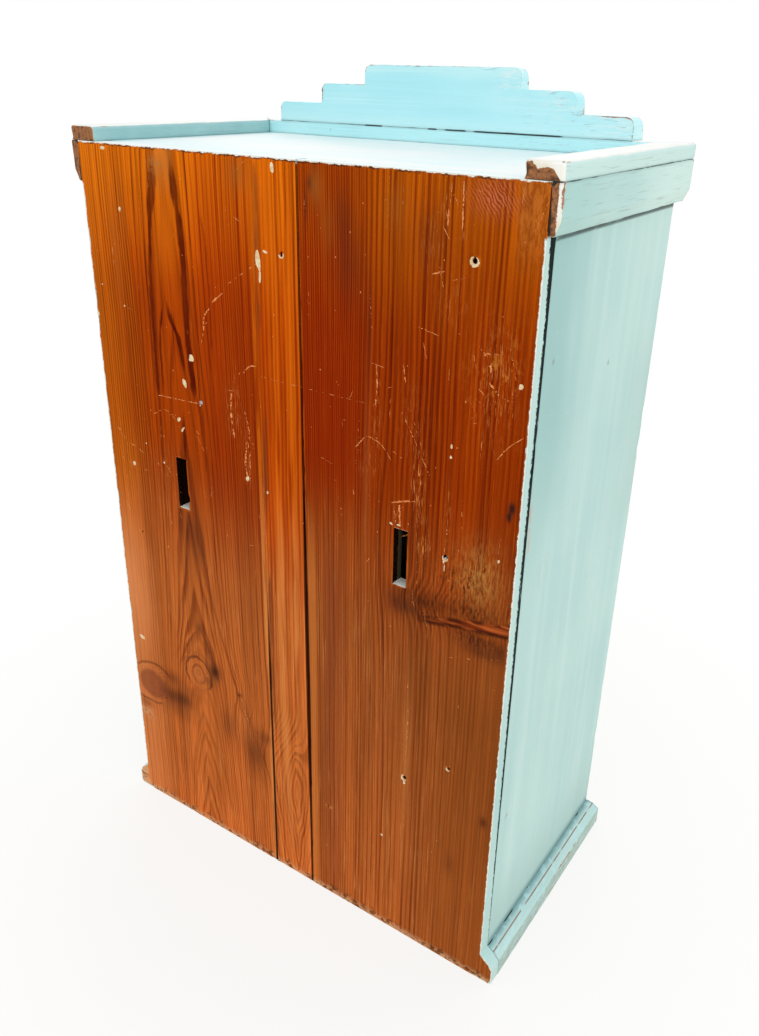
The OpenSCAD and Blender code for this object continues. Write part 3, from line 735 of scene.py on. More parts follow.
def right_board_marks(t, look):
    """The flame's broad strokes, the two knots and their stains on the back's right board."""
    blotch = t.noise((7, 50, 26), 92, 3, 0.6) * 0.9 + 0.45
    pale_edge = t.step(t.x + t.sway(30, (30, 30, 90), 93), 116, 150)
    pale_tint = t.mix(t.step(t.z, 300, 215), (232, 124, 20), (232, 146, 90))
    look.lay(pale_edge * (0.4 + t.blob(150, 195, 30, 45) * 0.35), pale_tint)
    upper = t.step(t.z, 215, 325)
    look.lay(t.band(t.x, 16, 62, 10) * upper * 0.34, (158, 36, 0))
    look.scale(t.curve(t.z, [(0, 1.06), (60, 1.0), (240, 1.02), (310, 0.9), (395, 0.9), (450, 1.08), (510, 1.1)]))
    fine_lines(look, 112, 153, 2.1, 401, (112, 34, 2), (236, 128, 16), 0.62, upper)
    fine_lines(look, 20, 50, 1.7, 402, (104, 22, 0), (214, 92, 10), 0.62, upper)
    fine_lines(look, 18, 60, 1.9, 403, (112, 50, 22), (216, 128, 70), 0.36, 1 - upper)
    heart = t.band(t.x + (t.z - 460) * 0.05, 79, 92, 3) * t.step(t.z, 420, 450)
    look.lay(heart * 0.5, t.mix(t.step(t.z, 470, 496), (200, 96, 12), (208, 124, 52)))
    for points, wide, share in FLAME_STROKES:
        look.lay(stroke(t, points, wide) * (blotch * share).clamp(), (84, 14, 2))
    for points, wide, share in RING_STROKES:
        look.lay(stroke(t, points, wide, 1.3) * (blotch * share).clamp(), (104, 50, 26))
    strip = t.band(t.x, 18.2, 20.8, 0.7) * t.step(t.z, 480, 400) * t.specks(0.34, 0.5, (6, 6, 70), 95, 3)
    look.lay(strip * 0.55, t.mix(t.step(t.z, 330, 240), (224, 112, 16), (238, 150, 78)))
    eye = t.blob(87, 140, 11, 11)
    look.lay(eye * 0.55, (196, 112, 60))
    far = ring_far(t, 87, 140, 0.85)
    for size, share in ((12.5, 0.75), (6.5, 0.45)):
        look.lay(t.step((far - size).abs(), 1.5, 0.2) * share * t.step(t.z, 128, 136), (96, 46, 28))
    knot = t.step(t.blob(138, 110, 17, 15), 0.36, 0.62)
    look.lay(knot * 0.72, t.mix(t.noise((5, 50, 3), 94, 3), (158, 84, 52), (116, 60, 40)))
    for points, wide, share in KNOT_ARCS:
        look.lay(arc(t, points, wide, 1.3) * (blotch * share).clamp(), BACK_SMOKE)
    stains(look, RIGHT_STAINS)
    scuff(look, RIGHT_SCUFFS)
    stains(look, RIGHT_DULL, DULL)
    smudge = t.blob(91, 491, 5, 4) * t.specks(0.38, 0.58, 2.5, 96, 3)
    look.lay(smudge * 0.8, (176, 122, 66))
    pitch = t.blob(151, 79, 9, 5) * t.specks(0.4, 0.6, 4, 47, 3)
    look.lay(pitch * 0.7, (200, 164, 124))


def middle_board_marks(t, look):
    """The dark and light strips along the back's narrow board."""
    upper = t.step(t.z, 215, 325)
    look.lay(upper * 0.22, (196, 70, 0))
    look.scale(t.curve(t.z, [(0, 1.0), (130, 1.0), (200, 1.16), (310, 1.1), (400, 1.0), (510, 1.0)]))
    fine_lines(look, -16, 12, 3.0, 411, (126, 30, 0), (240, 132, 20), 0.62, upper)
    edge = t.step((t.x - 17).abs(), 5.5, 2.0)
    shade = t.specks(0.42, 0.62, (6, 6, 60), 71, 3)
    look.lay(edge * shade * 0.62, (92, 48, 26))
    pale = t.band(t.x, 2, 9, 2.0) * t.specks(0.38, 0.6, (7, 7, 130), 72)
    pale = pale.max(t.band(t.x, -9, -4, 2.0) * t.specks(0.42, 0.6, (6, 6, 110), 73))
    look.lay(pale * 0.5, t.mix(t.step(t.z, 240, 330), (240, 148, 76), (240, 116, 12)))


def left_board_marks(t, look):
    """The knot, its dark outline, a weathered patch and dark places on the back's left board."""
    upper = t.step(t.z, 290, 350)
    red = t.step(t.x, -78, -38) * upper
    look.lay(red * 0.42, (140, 16, 0))
    look.scale(t.curve(t.z, [(0, 1.12), (90, 1.06), (150, 1.0), (330, 1.02), (510, 0.97)]))
    look.lay(upper * 0.2, (132, 26, 0))
    fine_lines(look, -56, -17, 1.45, 421, (104, 14, 0), (206, 80, 8), 0.7, upper)
    fine_lines(look, -150, -56, 3.3, 422, (112, 20, 0), (200, 84, 8), 0.5, upper)
    fine_lines(look, -150, -17, 1.9, 423, (104, 42, 18), (196, 112, 56), 0.3, 1 - upper)
    outer = t.step(-t.x + t.sway(30, (30, 30, 90), 86), 84, 132)
    look.lay(outer * t.step(t.z, 300, 200) * 0.5, (128, 66, 20))
    feather = t.noise((1.3, 1.3, 7), 81, 4, 0.7)
    patch = t.blob(-134, 296, 13, 17) * t.step(feather, 0.4, 0.58)
    look.lay(patch * 0.75, (196, 136, 68))
    soot = t.blob(-124, 287, 15, 15) * t.specks(0.48, 0.62, (1.6, 1.6, 4), 82, 4, 0.7)
    look.lay(soot * 0.8, (58, 28, 12))
    look.lay(t.blob(-102, 270, 20, 7) * t.step(feather, 0.34, 0.6) * 0.75, (58, 26, 12))
    inside, rim = spike_knot(t)
    lines = t.specks(0.4, 0.62, (30, 30, 1.3), 83)
    look.lay(inside, t.mix(lines, (184, 88, 38), (118, 46, 18)))
    tuft = t.specks(0.4, 0.6, (1.5, 1.5, 5), 98, 3, 0.65)
    ruff = t.blob(-132, 273.5, 17, 5) + t.blob(-134, 257, 17, 4.5) + t.blob(-100, 263, 10, 7) * 0.7
    look.lay((ruff * (1 - inside)).clamp() * tuft * 0.8, (56, 24, 12))
    look.lay(rim * t.specks(0.3, 0.52, (12, 12, 5), 84, 3) * 0.85, (58, 22, 10))
    stains(look, LEFT_STAINS)
    stains(look, LEFT_DULL, DULL)
    scuff(look, LEFT_SCUFFS)
    pale = t.blob(-93, 150, 1.6, 66) + t.blob(-60, 330, 2.0, 60) * 0.25
    look.lay(pale * 0.45, (210, 134, 72))
    low = t.step(t.z, 320, 250)
    look.lay(t.band(t.x, -22.5, -17, 1.2) * low * 0.5, (214, 124, 56))
    look.lay(t.band(t.x, -44, -29, 5) * low * 0.3, (116, 50, 34))
    swirl = t.noise((2.0, 2.0, 7), 87, 4, 0.66, warp=0.3)
    corner = t.step(t.x + (swirl - 0.5) * 9, -139, -144) * t.step(t.z + (swirl - 0.5) * 30, 452, 482)
    look.lay(corner * 0.66, t.mix(t.step(swirl, 0.4, 0.6), (196, 112, 42), (146, 74, 20)))
    slant = t.noise((5, 9, 5), 88, 3) * 2.4 + (t.x * 0.81 - t.z * 0.58) * 0.62
    hatch = t.step((slant.frac() - 0.5).abs(), 0.34, 0.12)
    pink = t.blob(-129, 491, 12, 7.5) * t.specks(0.34, 0.5, 6, 89, 3)
    look.lay(pink * 0.75, t.mix(hatch, (150, 58, 22), (208, 118, 80)))
    mottle = t.blob(-137, 405, 14, 22) * t.specks(0.52, 0.66, (4, 4, 8), 85, 4, 0.7)
    look.lay(mottle * 0.6, (214, 132, 48))


# ---- Metal and plastic ----


def metal(name, colour, dull, seed, rough=0.34):
    """Handled metal with dull patches and fine scratches."""
    t = Tree(name)
    patch = t.noise(5, seed, 4, 0.65)
    fine = t.noise((0.5, 3, 3), seed + 1)
    tone = t.mix(t.step(patch, 0.42, 0.66), colour, dull)
    paint = t.specks(0.6, 0.66, 6, seed + 2, 3)
    tone = t.mix(paint, tone, PAINT_SIDE)
    surface_rough = rough + patch * 0.25 + fine * 0.1
    done = t.finish(tone, surface_rough.max(paint * 0.6), patch * 0.6 + fine * 0.4 + paint * 2, 0.05)
    surface = next(n for n in t.tree.nodes if n.type == "BSDF_PRINCIPLED")
    t.feed(surface.inputs["Metallic"], 1 - paint)
    return done


def plastic(name, colour, seed):
    """Moulded brown plastic."""
    t = Tree(name)
    grain = t.noise(0.7, seed)
    dust = t.specks(0.5, 0.75, 9, seed + 1, 3)
    tone = t.mix(dust * 0.4, colour, (150, 138, 122))
    return t.finish(tone, 0.38 + grain * 0.15, grain, 0.03)


def knob_material(name, seed):
    """A turned knob, painted over and rubbed through round its rim."""
    t = Tree(name)
    coat = Coat(t, "Y", seed, PAINT_SIDE, PAINT_SIDE_BLUE, PAINT_SIDE_PALE)
    out = -t.y + FRONT_Y
    rim = t.step(t.noise(5, seed + 3, 4, 0.65) + t.band(out, 15.5, 19, 1.5) * 0.14, 0.66, 0.71)
    colour, height = wood(t, (t.x + t.z) * 0.4, "Y", (196, 140, 92), (140, 84, 48), seed)
    skin = t.mix(t.step(out, 3.0, 0.5) * 0.5, coat.colour, (96, 128, 126))
    return t.finish(t.mix(rim, skin, colour), 0.42 + rim * 0.25, t.blend(rim, coat.height + 2, height), 0.1)


# ---- Worn pieces, built over the CAD's ----


def seed_of(name):
    """A number from a piece's name."""
    return sum(ord(c) * (i + 3) for i, c in enumerate(name)) % 97


def arris_segments(bm, limits=None):
    """The edges that a hand feels: where two faces meet sharply along more than a very short way.
    With limits, only those that lie on two sides of that box."""
    found = []
    for e in bm.edges:
        if len(e.link_faces) != 2 or e.calc_length() < ARRIS_MM * MM:
            continue
        if e.calc_face_angle(0) < math.radians(ARRIS_DEG):
            continue
        if limits:
            a, b = e.verts[0].co, e.verts[1].co
            sides = sum(
                abs(a[i] - c[i]) < 0.02 * MM and abs(b[i] - c[i]) < 0.02 * MM for i in range(3) for c in limits
            )
            if sides < 2:
                continue
        found.append(e)
    return found


def nearest_on_segments(points, starts, ends):
    """For each point, its distance to the nearest segment and the nearest point there."""
    way = ends - starts
    length2 = np.maximum((way * way).sum(1), 1e-18)
    best = np.full(len(points), 1e9)
    spot = np.zeros_like(points)
    for s, w, l2 in zip(starts, way, length2):
        share = np.clip(((points - s) @ w) / l2, 0, 1)
        at = s + share[:, None] * w
        gap = np.linalg.norm(points - at, axis=1)
        closer = gap < best
        best[closer], spot[closer] = gap[closer], at[closer]
    return best, spot


NEIGHBOURS = {}
for key, node in NODES.items():
    low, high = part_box(key)
    NEIGHBOURS[key] = (low, high, BVHTree.FromPolygons(
        [v.co.copy() for v in node.data.vertices], [tuple(p.vertices) for p in node.data.polygons]))


def touches(name, spot, reach):
    """True if another piece of the CAD lies against this point of a piece."""
    for key, (low, high, tree) in NEIGHBOURS.items():
        if key == name or any(spot[i] < low[i] - reach or spot[i] > high[i] + reach for i in range(3)):
            continue
        if tree.find_nearest(spot, reach)[0] is not None:
            return True
    return False


def mesh_from(name, bm):
    """A mesh from a bmesh, which this uses up."""
    mesh = bpy.data.meshes.new(name)
    bm.to_mesh(mesh)
    bm.free()
    return mesh


def in_scene(name, data):
    """A new object in the scene, round a mesh, lamp or camera."""
    made = bpy.data.objects.new(name, data)
    bpy.context.scene.collection.objects.link(made)
    return made


def new_piece(name, mesh, material, body):
    """A piece of the visual model, which rides on a body."""
    mesh.shade_smooth()
    mesh.materials.append(material)
    piece = in_scene(name, mesh)
    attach(piece, body)
    return piece


def round_about(turn, of):
    """The angle of one step of so many round a circle."""
    return 2 * math.pi * turn / of


def on_back(bm, x, z, up):
    """A new vertex at (x, z) on the back, up mm off its face."""
    return bm.verts.new((x * MM, (BACK_Y + up) * MM, z * MM))


def join_rings(bm, rings):
    """Faces between rings of vertices."""
    for a, b in zip(rings, rings[1:]):
        for i in range(len(a)):
            j = (i + 1) % len(a)
            bm.faces.new((a[i], a[j], b[j], b[i]))


def slice_mesh(bm, place, normal):
    bmesh.ops.bisect_plane(
        bm, geom=bm.verts[:] + bm.edges[:] + bm.faces[:], dist=1e-7, plane_co=place, plane_no=normal)


def worn(name, material, slot_name, rounding=0.8, dent=0.3, nick=1.4, wave=0.1, pitch=7.0, boxed=False,
         across=30.0, before=None, tight=0.75, reach=0.45):
    """A piece that stands for a CAD node, with its arrises rounded, rubbed and nicked, and its faces not quite flat.
    Lengths are in mm. before changes its bmesh first, and reach is how near a neighbour counts as lying against it."""
    source = NODES[name]
    bm = bmesh.new()
    bm.from_mesh(source.data)
    bmesh.ops.remove_doubles(bm, verts=bm.verts, dist=0.01 * MM)
    bmesh.ops.dissolve_limit(bm, angle_limit=math.radians(0.6), verts=bm.verts, edges=bm.edges)
    if before:
        bm = before(bm)
        bm.normal_update()
    low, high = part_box(name)
    sharp = arris_segments(bm, (low, high) if boxed else None)
    starts = np.array([e.verts[0].co for e in sharp], float)
    ends = np.array([e.verts[1].co for e in sharp], float)
    planes = {}
    for f in bm.faces:
        if f.calc_area() > FACE_MM2 * MM * MM:
            key = tuple(round(c, 3) for c in f.normal) + (round(f.normal.dot(f.calc_center_median()) / MM, 2),)
            planes.setdefault(key, (f.calc_center_median().copy(), f.normal.copy()))
    bmesh.ops.bevel(bm, geom=sharp, offset=rounding * MM, offset_type="OFFSET", segments=2,
                    profile=0.5, affect="EDGES", clamp_overlap=True)
    for place, normal in planes.values():
        for inside in (STRIP_MM, NEAR_MM):
            slice_mesh(bm, place - normal * inside * MM, normal)
    rng = random.Random(seed_of(name))
    size = high - low
    order = sorted(range(3), key=lambda i: -size[i])
    for axis, gap in ((order[0], pitch), (order[1], across)):
        if not gap:
            continue
        at = low[axis] / MM + gap * 0.6
        while at < high[axis] / MM - gap * 0.4:
            place, normal = Vector((0, 0, 0)), Vector((0, 0, 0))
            place[axis], normal[axis] = at * MM, 1.0
            slice_mesh(bm, place, normal)
            at += gap * rng.uniform(0.7, 1.3)
    bmesh.ops.recalc_face_normals(bm, faces=bm.faces)
    bm.verts.ensure_lookup_table()
    bm.normal_update()
    points = np.array([v.co for v in bm.verts], float)
    gap, spot = nearest_on_segments(points, starts, ends)
    near = bm.verts.layers.float.new("near")
    joint = bm.verts.layers.float.new("joint")
    seen = {}
    off = Vector((seed_of(name) * 0.37, 1.7, 9.1))
    moves = []
    for v, d, at in zip(bm.verts, gap / MM, spot):
        v[near] = max(0.0, NEAR_MM - d)
        pull, loose, at = Vector((0, 0, 0)), 1.0, Vector(at)
        if d < JOINT_MM:
            key = tuple(int(round(c / MM / 2)) for c in at)
            if key not in seen:
                seen[key] = touches(name, at, reach * MM)
            if seen[key]:
                # Where a neighbour lies against the arris, the arris stays sharp and whole.
                hold = tight * min(1.0, max(0.0, 3.0 - 2 * d / rounding))
                pull, d, loose = (at - v.co) * hold, d * (1 - hold), 1 - tight
                v[joint] = 1 - d / JOINT_MM
        p = v.co / MM
        on_arris = max(0.0, 1.0 - d / (rounding * 1.6)) * loose
        fine = 0.5 + noise.noise(p * 0.16 + off)
        rare = max(0.0, noise.noise(p * 0.11 + off * 2) - 0.34) * 2.6
        amount = on_arris * (dent * fine + nick * rare)
        flat = noise.noise(p * 0.022 + off) * wave * min(1.0, d / 6)
        moves.append((v, pull - v.normal * (amount + flat) * MM))
    for v, move in moves:
        v.co += move
    mesh = mesh_from(name + "_worn", bm)
    piece = new_piece("worn_" + name, mesh, material, source["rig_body"])
    mesh.set_sharp_from_angle(angle=math.radians(SHARP_DEG))
    piece.modifiers.new("even_normals", "WEIGHTED_NORMAL").keep_sharp = True
    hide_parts(name)


def dress(name, material, rounding=0.0):
    """Gives a CAD node its material, and where asked a small rounding of its arrises."""
    node = NODES[name]
    node.data.materials.clear()
    node.data.materials.append(material)
    if rounding:
        round_off = node.modifiers.new("rounding", "BEVEL")
        round_off.width, round_off.segments = rounding * MM, 2
        round_off.limit_method, round_off.angle_limit = "ANGLE", math.radians(40)
        round_off.harden_normals = False


# ---- Marks on the back: holes, paint drops, flecks and scratches ----

HOLES = [(-120, 462, 1.2), (-1.7, 451, 1.1), (-113, 302, 1.2), (-92, 137, 1.3), (-123, 160, 1.0), (133, 243, 0.9),
         (-31, 80, 0.8)]


def drill(bm):
    """Makes the old screw and nail holes in the back, and closes the upper part of one of its joints, which was
    pulled tight."""
    for z in (205, 235):
        slice_mesh(bm, Vector((0, 0, z * MM)), Vector((0, 0, 1)))
    for v in bm.verts:
        x, z = v.co.x / MM, v.co.z / MM
        if abs(x - SHUT_JOINT_X) < 0.5 and z > 230:
            v.co.x += (SHUT_JOINT_X - x) * 0.95 * MM
    xs = [v.co.x / MM for v in bm.verts]
    x0, x1 = min(xs) + 3, max(xs) - 3
    holes = [h for h in HOLES if x0 < h[0] < x1]
    if not holes:
        return bm
    board = in_scene("board_uncut", mesh_from("board_uncut", bm))
    cutter_bm = bmesh.new()
    rng = random.Random(5)
    sides = 22
    for x, z, radius in holes:
        rings = []
        for depth, grow in ((-1.0, 1.35), (0.35, 1.25), (0.9, 0.9), (5.5, 0.6)):
            rings.append([])
            for i in range(sides):
                angle = round_about(i, sides)
                r = radius * grow * (1 + rng.uniform(-0.08, 0.08))
                rings[-1].append(on_back(cutter_bm, x + r * math.cos(angle), z + r * 1.2 * math.sin(angle), -depth))
        join_rings(cutter_bm, rings)
        cutter_bm.faces.new(rings[0])
        cutter_bm.faces.new(list(reversed(rings[-1])))
    bmesh.ops.recalc_face_normals(cutter_bm, faces=cutter_bm.faces)
    cutter = in_scene("drill_bits", mesh_from("drill_bits", cutter_bm))
    cut = board.modifiers.new("cut", "BOOLEAN")
    cut.object, cut.operation, cut.solver = cutter, "DIFFERENCE", "EXACT"
    bpy.context.view_layer.update()
    done = bmesh.new()
    done.from_mesh(board.evaluated_get(bpy.context.evaluated_depsgraph_get()).to_mesh())
    bmesh.ops.remove_doubles(done, verts=done.verts, dist=0.002 * MM)
    for helper in (board, cutter):
        mesh = helper.data
        bpy.data.objects.remove(helper)
        bpy.data.meshes.remove(mesh)
    return done


def flat_material(name, a, b, seed):
    """Old paint or rubbed wood in a mark, uneven within it."""
    t = Tree(name)
    tone = t.noise(2.5, seed, 4, 0.65)
    return t.finish(t.mix(t.step(tone, 0.35, 0.65), a, b), 0.6, tone, 0.15)


def drop(bm, thick, rng, x, z, wide, tall, lean=0.0, sides=16):
    """A drop or fleck of paint: a low uneven dome on the back."""
    radii = [rng.uniform(0.58, 1.32) for _ in range(sides)]
    rings = []
    for share, up in ((1.0, 0.02), (0.82, 0.75), (0.45, 1.0)):
        rings.append([])
        for i in range(sides):
            angle = round_about(i, sides)
            r = (radii[i] * 2 + radii[i - 1] + radii[(i + 1) % sides]) / 4 * share
            u, v = r * wide / 2 * math.cos(angle), r * tall / 2 * math.sin(angle)
            rings[-1].append(on_back(bm, x + u * math.cos(lean) - v * math.sin(lean),
                                     z + u * math.sin(lean) + v * math.cos(lean), up * thick))
    join_rings(bm, rings)
    bm.faces.new(rings[-1])


def smooth_path(points, gap=1.0):
    """A smooth line through points, as points a short gap apart."""
    pts = [Vector(p) for p in points]
    pts = [pts[0] * 2 - pts[1]] + pts + [pts[-1] * 2 - pts[-2]]
    line = []
    for a, b, c, d in zip(pts, pts[1:], pts[2:], pts[3:]):
        count = max(2, int((c - b).length / gap))
        for i in range(count):
            s = i / count
            line.append(0.5 * (2 * b + (c - a) * s + (2 * a - 5 * b + 4 * c - d) * s * s
                               + (3 * b - a - 3 * c + d) * s ** 3))
    line.append(pts[-2])
    return line


def scratch(bm, points, wide, faint, rng):
    """A scratch that skips: short uneven strips a hair above the wood, along a line through points (x, z)."""
    line = smooth_path(points, 0.5)
    start = rng.uniform(0, 99)

    def drift(step, row):
        return noise.noise(Vector((start + i * step, row, 0)))

    before = None
    for i, p in enumerate(line):
        way = (line[min(i + 1, len(line) - 1)] - line[max(i - 1, 0)])
        side = Vector((-way.y, way.x)).normalized() if way.length else Vector((1, 0))
        strength = 0.52 + drift(0.13, 0) * 0.6 + drift(0.52, 5) * 0.7 - faint * 1.4
        end = min(1.0, i / 4, (len(line) - 1 - i) / 4)
        if strength < 0.1:
            before = None
            continue
        w = wide * min(1.0, strength * 1.5) * (0.3 + 0.7 * end) * (0.8 + drift(1.3, 9) * 0.9)
        p = p + side * (drift(0.21, 3) * 0.5 + drift(0.9, 7) * 0.15)
        a, b = p + side * w / 2, p - side * w / 2
        now = [on_back(bm, q.x, q.y, SKIN_MM) for q in (a, b)]
        if before:
            bm.faces.new((before[0], before[1], now[1], now[0]))
        before = now


def crescent(bm, x, z, radius, start, sweep, wide, rng):
    """A thick uneven lip of paint round part of a hole. Its width and angles are in mm and degrees."""
    count = max(8, int(sweep / 12))
    before = None
    for i in range(count + 1):
        share = i / count
        angle = math.radians(start + sweep * share)
        w = wide * (math.sin(math.pi * min(1, max(0, share))) ** 0.6) * rng.uniform(0.65, 1.2) + 0.05
        row = []
        for r, up in ((radius * 0.92, -0.4), (radius + w * 0.15, 0.32), (radius + w * 0.7, 0.34), (radius + w, 0.02)):
            row.append(on_back(bm, x + r * math.cos(angle), z + r * 1.1 * math.sin(angle), up))
        if before:
            for k in range(3):
                bm.faces.new((before[k], before[k + 1], row[k + 1], row[k]))
        before = row


def mark_piece(name, bm, material):
    """The piece that one kind of mark on the back makes, with its faces turned outward."""
    bmesh.ops.delete(bm, geom=[v for v in bm.verts if not v.link_faces], context="VERTS")
    bmesh.ops.recalc_face_normals(bm, faces=bm.faces)
    bmesh.ops.reverse_faces(bm, faces=[f for f in bm.faces if f.normal.y < -0.2])
    new_piece(name, mesh_from(name, bm), material, "case")


DROPS = [
    # x, z, width, height, and the lean in radians where it leans
    (72, 380, 4.2, 5.0, 0.4), (79, 363, 3.2, 6.4, -0.3), (87, 337, 2.6, 3.4, 0.5), (84, 331, 1.4, 5.0, 0.6),
    (134, 295, 3.4, 3.6), (145, 150, 5.6, 3.6, 0.2), (154, 395, 1.8, 3.6), (104, 303, 1.6, 1.4), (120, 313, 1.4, 1.2),
    (124, 463, 2.6, 2.4), (134, 497, 3.6, 2.0), (3, 495, 2.6, 5.0), (15, 446, 3.6, 13.0, -0.08),
    (14, 437, 1.8, 6.0, 0.1), (9.5, 451, 4.0, 1.4, 0.25), (30, 311, 2.6, 4.4, 0.3), (-149, 406, 2.6, 3.2),
    (-113, 367, 1.2, 2.6), (-113, 361, 1.3, 1.6), (-77, 312, 2.4, 1.2, 0.3), (-82, 312.5, 2.6, 1.3),
    (-76, 80, 1.6, 1.6), (14, 306, 1.6, 2.0), (-92, 133, 1.6, 2.6), (-112, 299, 1.3, 2.0), (-112.6, 295.4, 0.5, 4.4),
    (-145, 310, 1.5, 2.0), (147, 415, 1.0, 1.2), (128, 404, 1.6, 1.2),
]
RIMS = [
    # x, z, radius, first angle, sweep, width
    (-120, 462, 1.5, -245, 320, 1.35), (-113, 302, 1.5, -170, 200, 0.9), (-1.7, 451, 1.4, 150, 200, 0.8),
    (-92, 137, 1.6, -150, 240, 0.9), (-123, 160, 1.2, -150, 180, 0.6),
]
BLUE_DROPS = [(66, 353, 2.6, 2.2), (66.8, 351, 1.2, 1.2)]
SCRATCHES = [
    # points (x, z), width, how much of it is missing
    (((60, 398), (59, 407), (54, 414)), 1.5, 0.12), (((52, 417), (43, 424)), 1.8, 0.12),
    (((38, 430), (24, 439), (14, 445)), 1.2, 0.3), (((57, 405), (61, 396), (63, 390)), 0.9, 0.25),
    (((40, 365), (41, 350), (39, 335)), 1.9, 0.12), (((43, 366), (38, 366)), 1.0, 0.2),
    (((30, 355), (27, 343), (28, 332)), 1.3, 0.2), (((25, 345), (24, 330)), 0.8, 0.3),
    (((29, 336), (31, 322), (30, 312)), 1.6, 0.1), (((27, 330), (28, 308)), 1.2, 0.15),
    (((34, 328), (28, 310)), 0.9, 0.2), (((19, 385), (24, 384), (30, 379)), 1.1, 0.1),
    (((17, 379.5), (-20, 379), (-68, 379)), 0.55, 0.28), (((-65, 402), (-66, 392), (-65, 379)), 1.3, 0.2),
    (((-62, 402), (-70, 401)), 1.1, 0.2), (((-52, 352), (-60, 360), (-70, 357), (-76, 350)), 0.9, 0.15),
    (((-54, 365), (-54, 352), (-52, 340)), 0.8, 0.3), (((-50, 330), (-52, 318)), 0.8, 0.3),
    (((-82, 379), (-90, 366), (-102, 345)), 0.9, 0.25), (((-86, 384), (-95, 362), (-99, 350)), 0.6, 0.3),
    (((-77, 325), (-85, 328), (-93, 330)), 1.5, 0.05), (((-82, 328), (-83, 312)), 1.8, 0.1),
    (((-79, 322), (-80, 313)), 1.0, 0.2), (((-95, 352), (-94, 338)), 0.9, 0.3),
    (((-104, 494), (-110, 486)), 0.6, 0.25), (((-102, 476), (-106, 470)), 0.6, 0.1),
    (((-97, 453), (-104, 455)), 1.2, 0.0), (((-101, 457), (-104, 446)), 0.6, 0.1),
    (((-93, 420), (-96, 410)), 0.6, 0.2), (((-82, 405), (-84, 395)), 0.9, 0.2), (((-90, 426), (-104, 423)), 0.6, 0.2),
    (((-125, 422), (-131, 416), (-133, 408)), 1.6, 0.25), (((-128, 419), (-139, 420)), 1.2, 0.3),
    (((-132, 405), (-139, 399), (-146, 398)), 1.4, 0.25), (((-142, 424), (-146, 410), (-148, 398)), 1.1, 0.3),
    (((-124, 403), (-130, 398)), 0.7, 0.2), (((-120, 398), (-133, 391)), 0.8, 0.35),
    (((-139, 366), (-146, 375), (-153, 381)), 0.6, 0.0), (((-121, 381), (-127, 383)), 0.6, 0.2),
    (((105, 350), (85, 351), (65, 352)), 1.1, 0.18), (((98, 338), (88, 340)), 0.9, 0.25),
    (((110, 336), (100, 341), (92, 338), (86, 330)), 0.9, 0.25), (((107, 352), (107, 347)), 0.7, 0.2),
    (((72, 331), (66, 320)), 0.6, 0.2), (((75, 335), (65, 328)), 0.8, 0.3),
    (((150, 319), (138, 311), (122, 305)), 1.1, 0.3), (((105, 305), (99, 298), (95, 292)), 1.3, 0.25),
    (((147, 298), (132, 292), (118, 294)), 0.9, 0.3), (((153, 322), (143, 316)), 0.9, 0.3),
    (((112, 305), (106, 296), (98, 294)), 0.8, 0.3), (((129, 404), (118, 402)), 1.2, 0.35),
    (((140, 402), (126, 408)), 1.0, 0.4), (((-92, 212), (-93, 180), (-92, 140)), 0.9, 0.3),
    (((-91.5, 125), (-93, 108), (-93, 95)), 0.8, 0.35), (((-113, 325), (-113, 315), (-112, 304)), 0.9, 0.3),
    (((-127, 215), (-127, 195)), 0.5, 0.35), (((-95, 295), (-96, 270)), 0.6, 0.35),
    (((-20, 420), (-21, 470)), 0.5, 0.4), (((-70, 470), (-71, 500)), 0.5, 0.3),
    (((-121, 340), (-122, 322)), 0.6, 0.3), (((-60, 442), (-62, 420)), 0.5, 0.3),
    (((-37, 365), (-55, 368)), 0.6, 0.35), (((16, 120), (15, 60)), 0.6, 0.4),
    (((-112, 497), (-112.5, 475)), 0.9, 0.0), (((-104.5, 484), (-104.5, 476)), 1.0, 0.0),
    (((47, 140), (43, 128), (40, 119)), 0.8, 0.2), (((-105, 480), (-106, 500)), 0.4, 0.2),
    (((-115, 238), (-130, 243), (-150, 250)), 0.7, 0.35), (((-44, 60), (-37, 61)), 0.7, 0.3),
    (((-80, 162), (-95, 163)), 0.5, 0.3),
]


def back_marks():
    """Paint drops and scratches on the back."""
    rng = random.Random(11)
    bm = bmesh.new()
    for place in DROPS:
        drop(bm, 0.25, rng, *place)
    for place in RIMS:
        crescent(bm, *place, rng)
    mark_piece("back_paint_drops", bm, flat_material("old_cream_paint", (240, 226, 190), (222, 186, 136), 91))
    bm = bmesh.new()
    for place in BLUE_DROPS:
        drop(bm, 0.35, rng, *place)
    mark_piece("back_blue_drops", bm, flat_material("old_blue_paint", (196, 206, 214), (150, 164, 176), 92))
    bm = bmesh.new()
    for line in SCRATCHES:
        scratch(bm, *line, rng)
    for _ in range(FLECKS):
        x, z = rng.uniform(-152, 152), rng.uniform(285, 496) if rng.random() < 0.75 else rng.uniform(8, 285)
        size = rng.uniform(0.3, 0.75)
        drop(bm, 0.08, rng, x, z, size, size * rng.uniform(0.8, 2.4), rng.uniform(-0.5, 0.5), 8)
    for _ in range(HAIRS):
        x, z = rng.uniform(-150, -15) if rng.random() < 0.6 else rng.uniform(15, 150), rng.uniform(250, 495)
        length, lean = rng.uniform(3, 14), rng.choice((rng.uniform(-0.25, 0.25), rng.uniform(-1.4, 1.4)))
        scratch(bm, [(x, z), (x + math.sin(lean) * length, z + math.cos(lean) * length)],
                rng.uniform(0.3, 0.6), rng.uniform(0.1, 0.35), rng)
    mark_piece("back_scratches", bm, flat_material("scratched_wood", (240, 158, 84), (212, 112, 40), 93))


# ---- The room ----


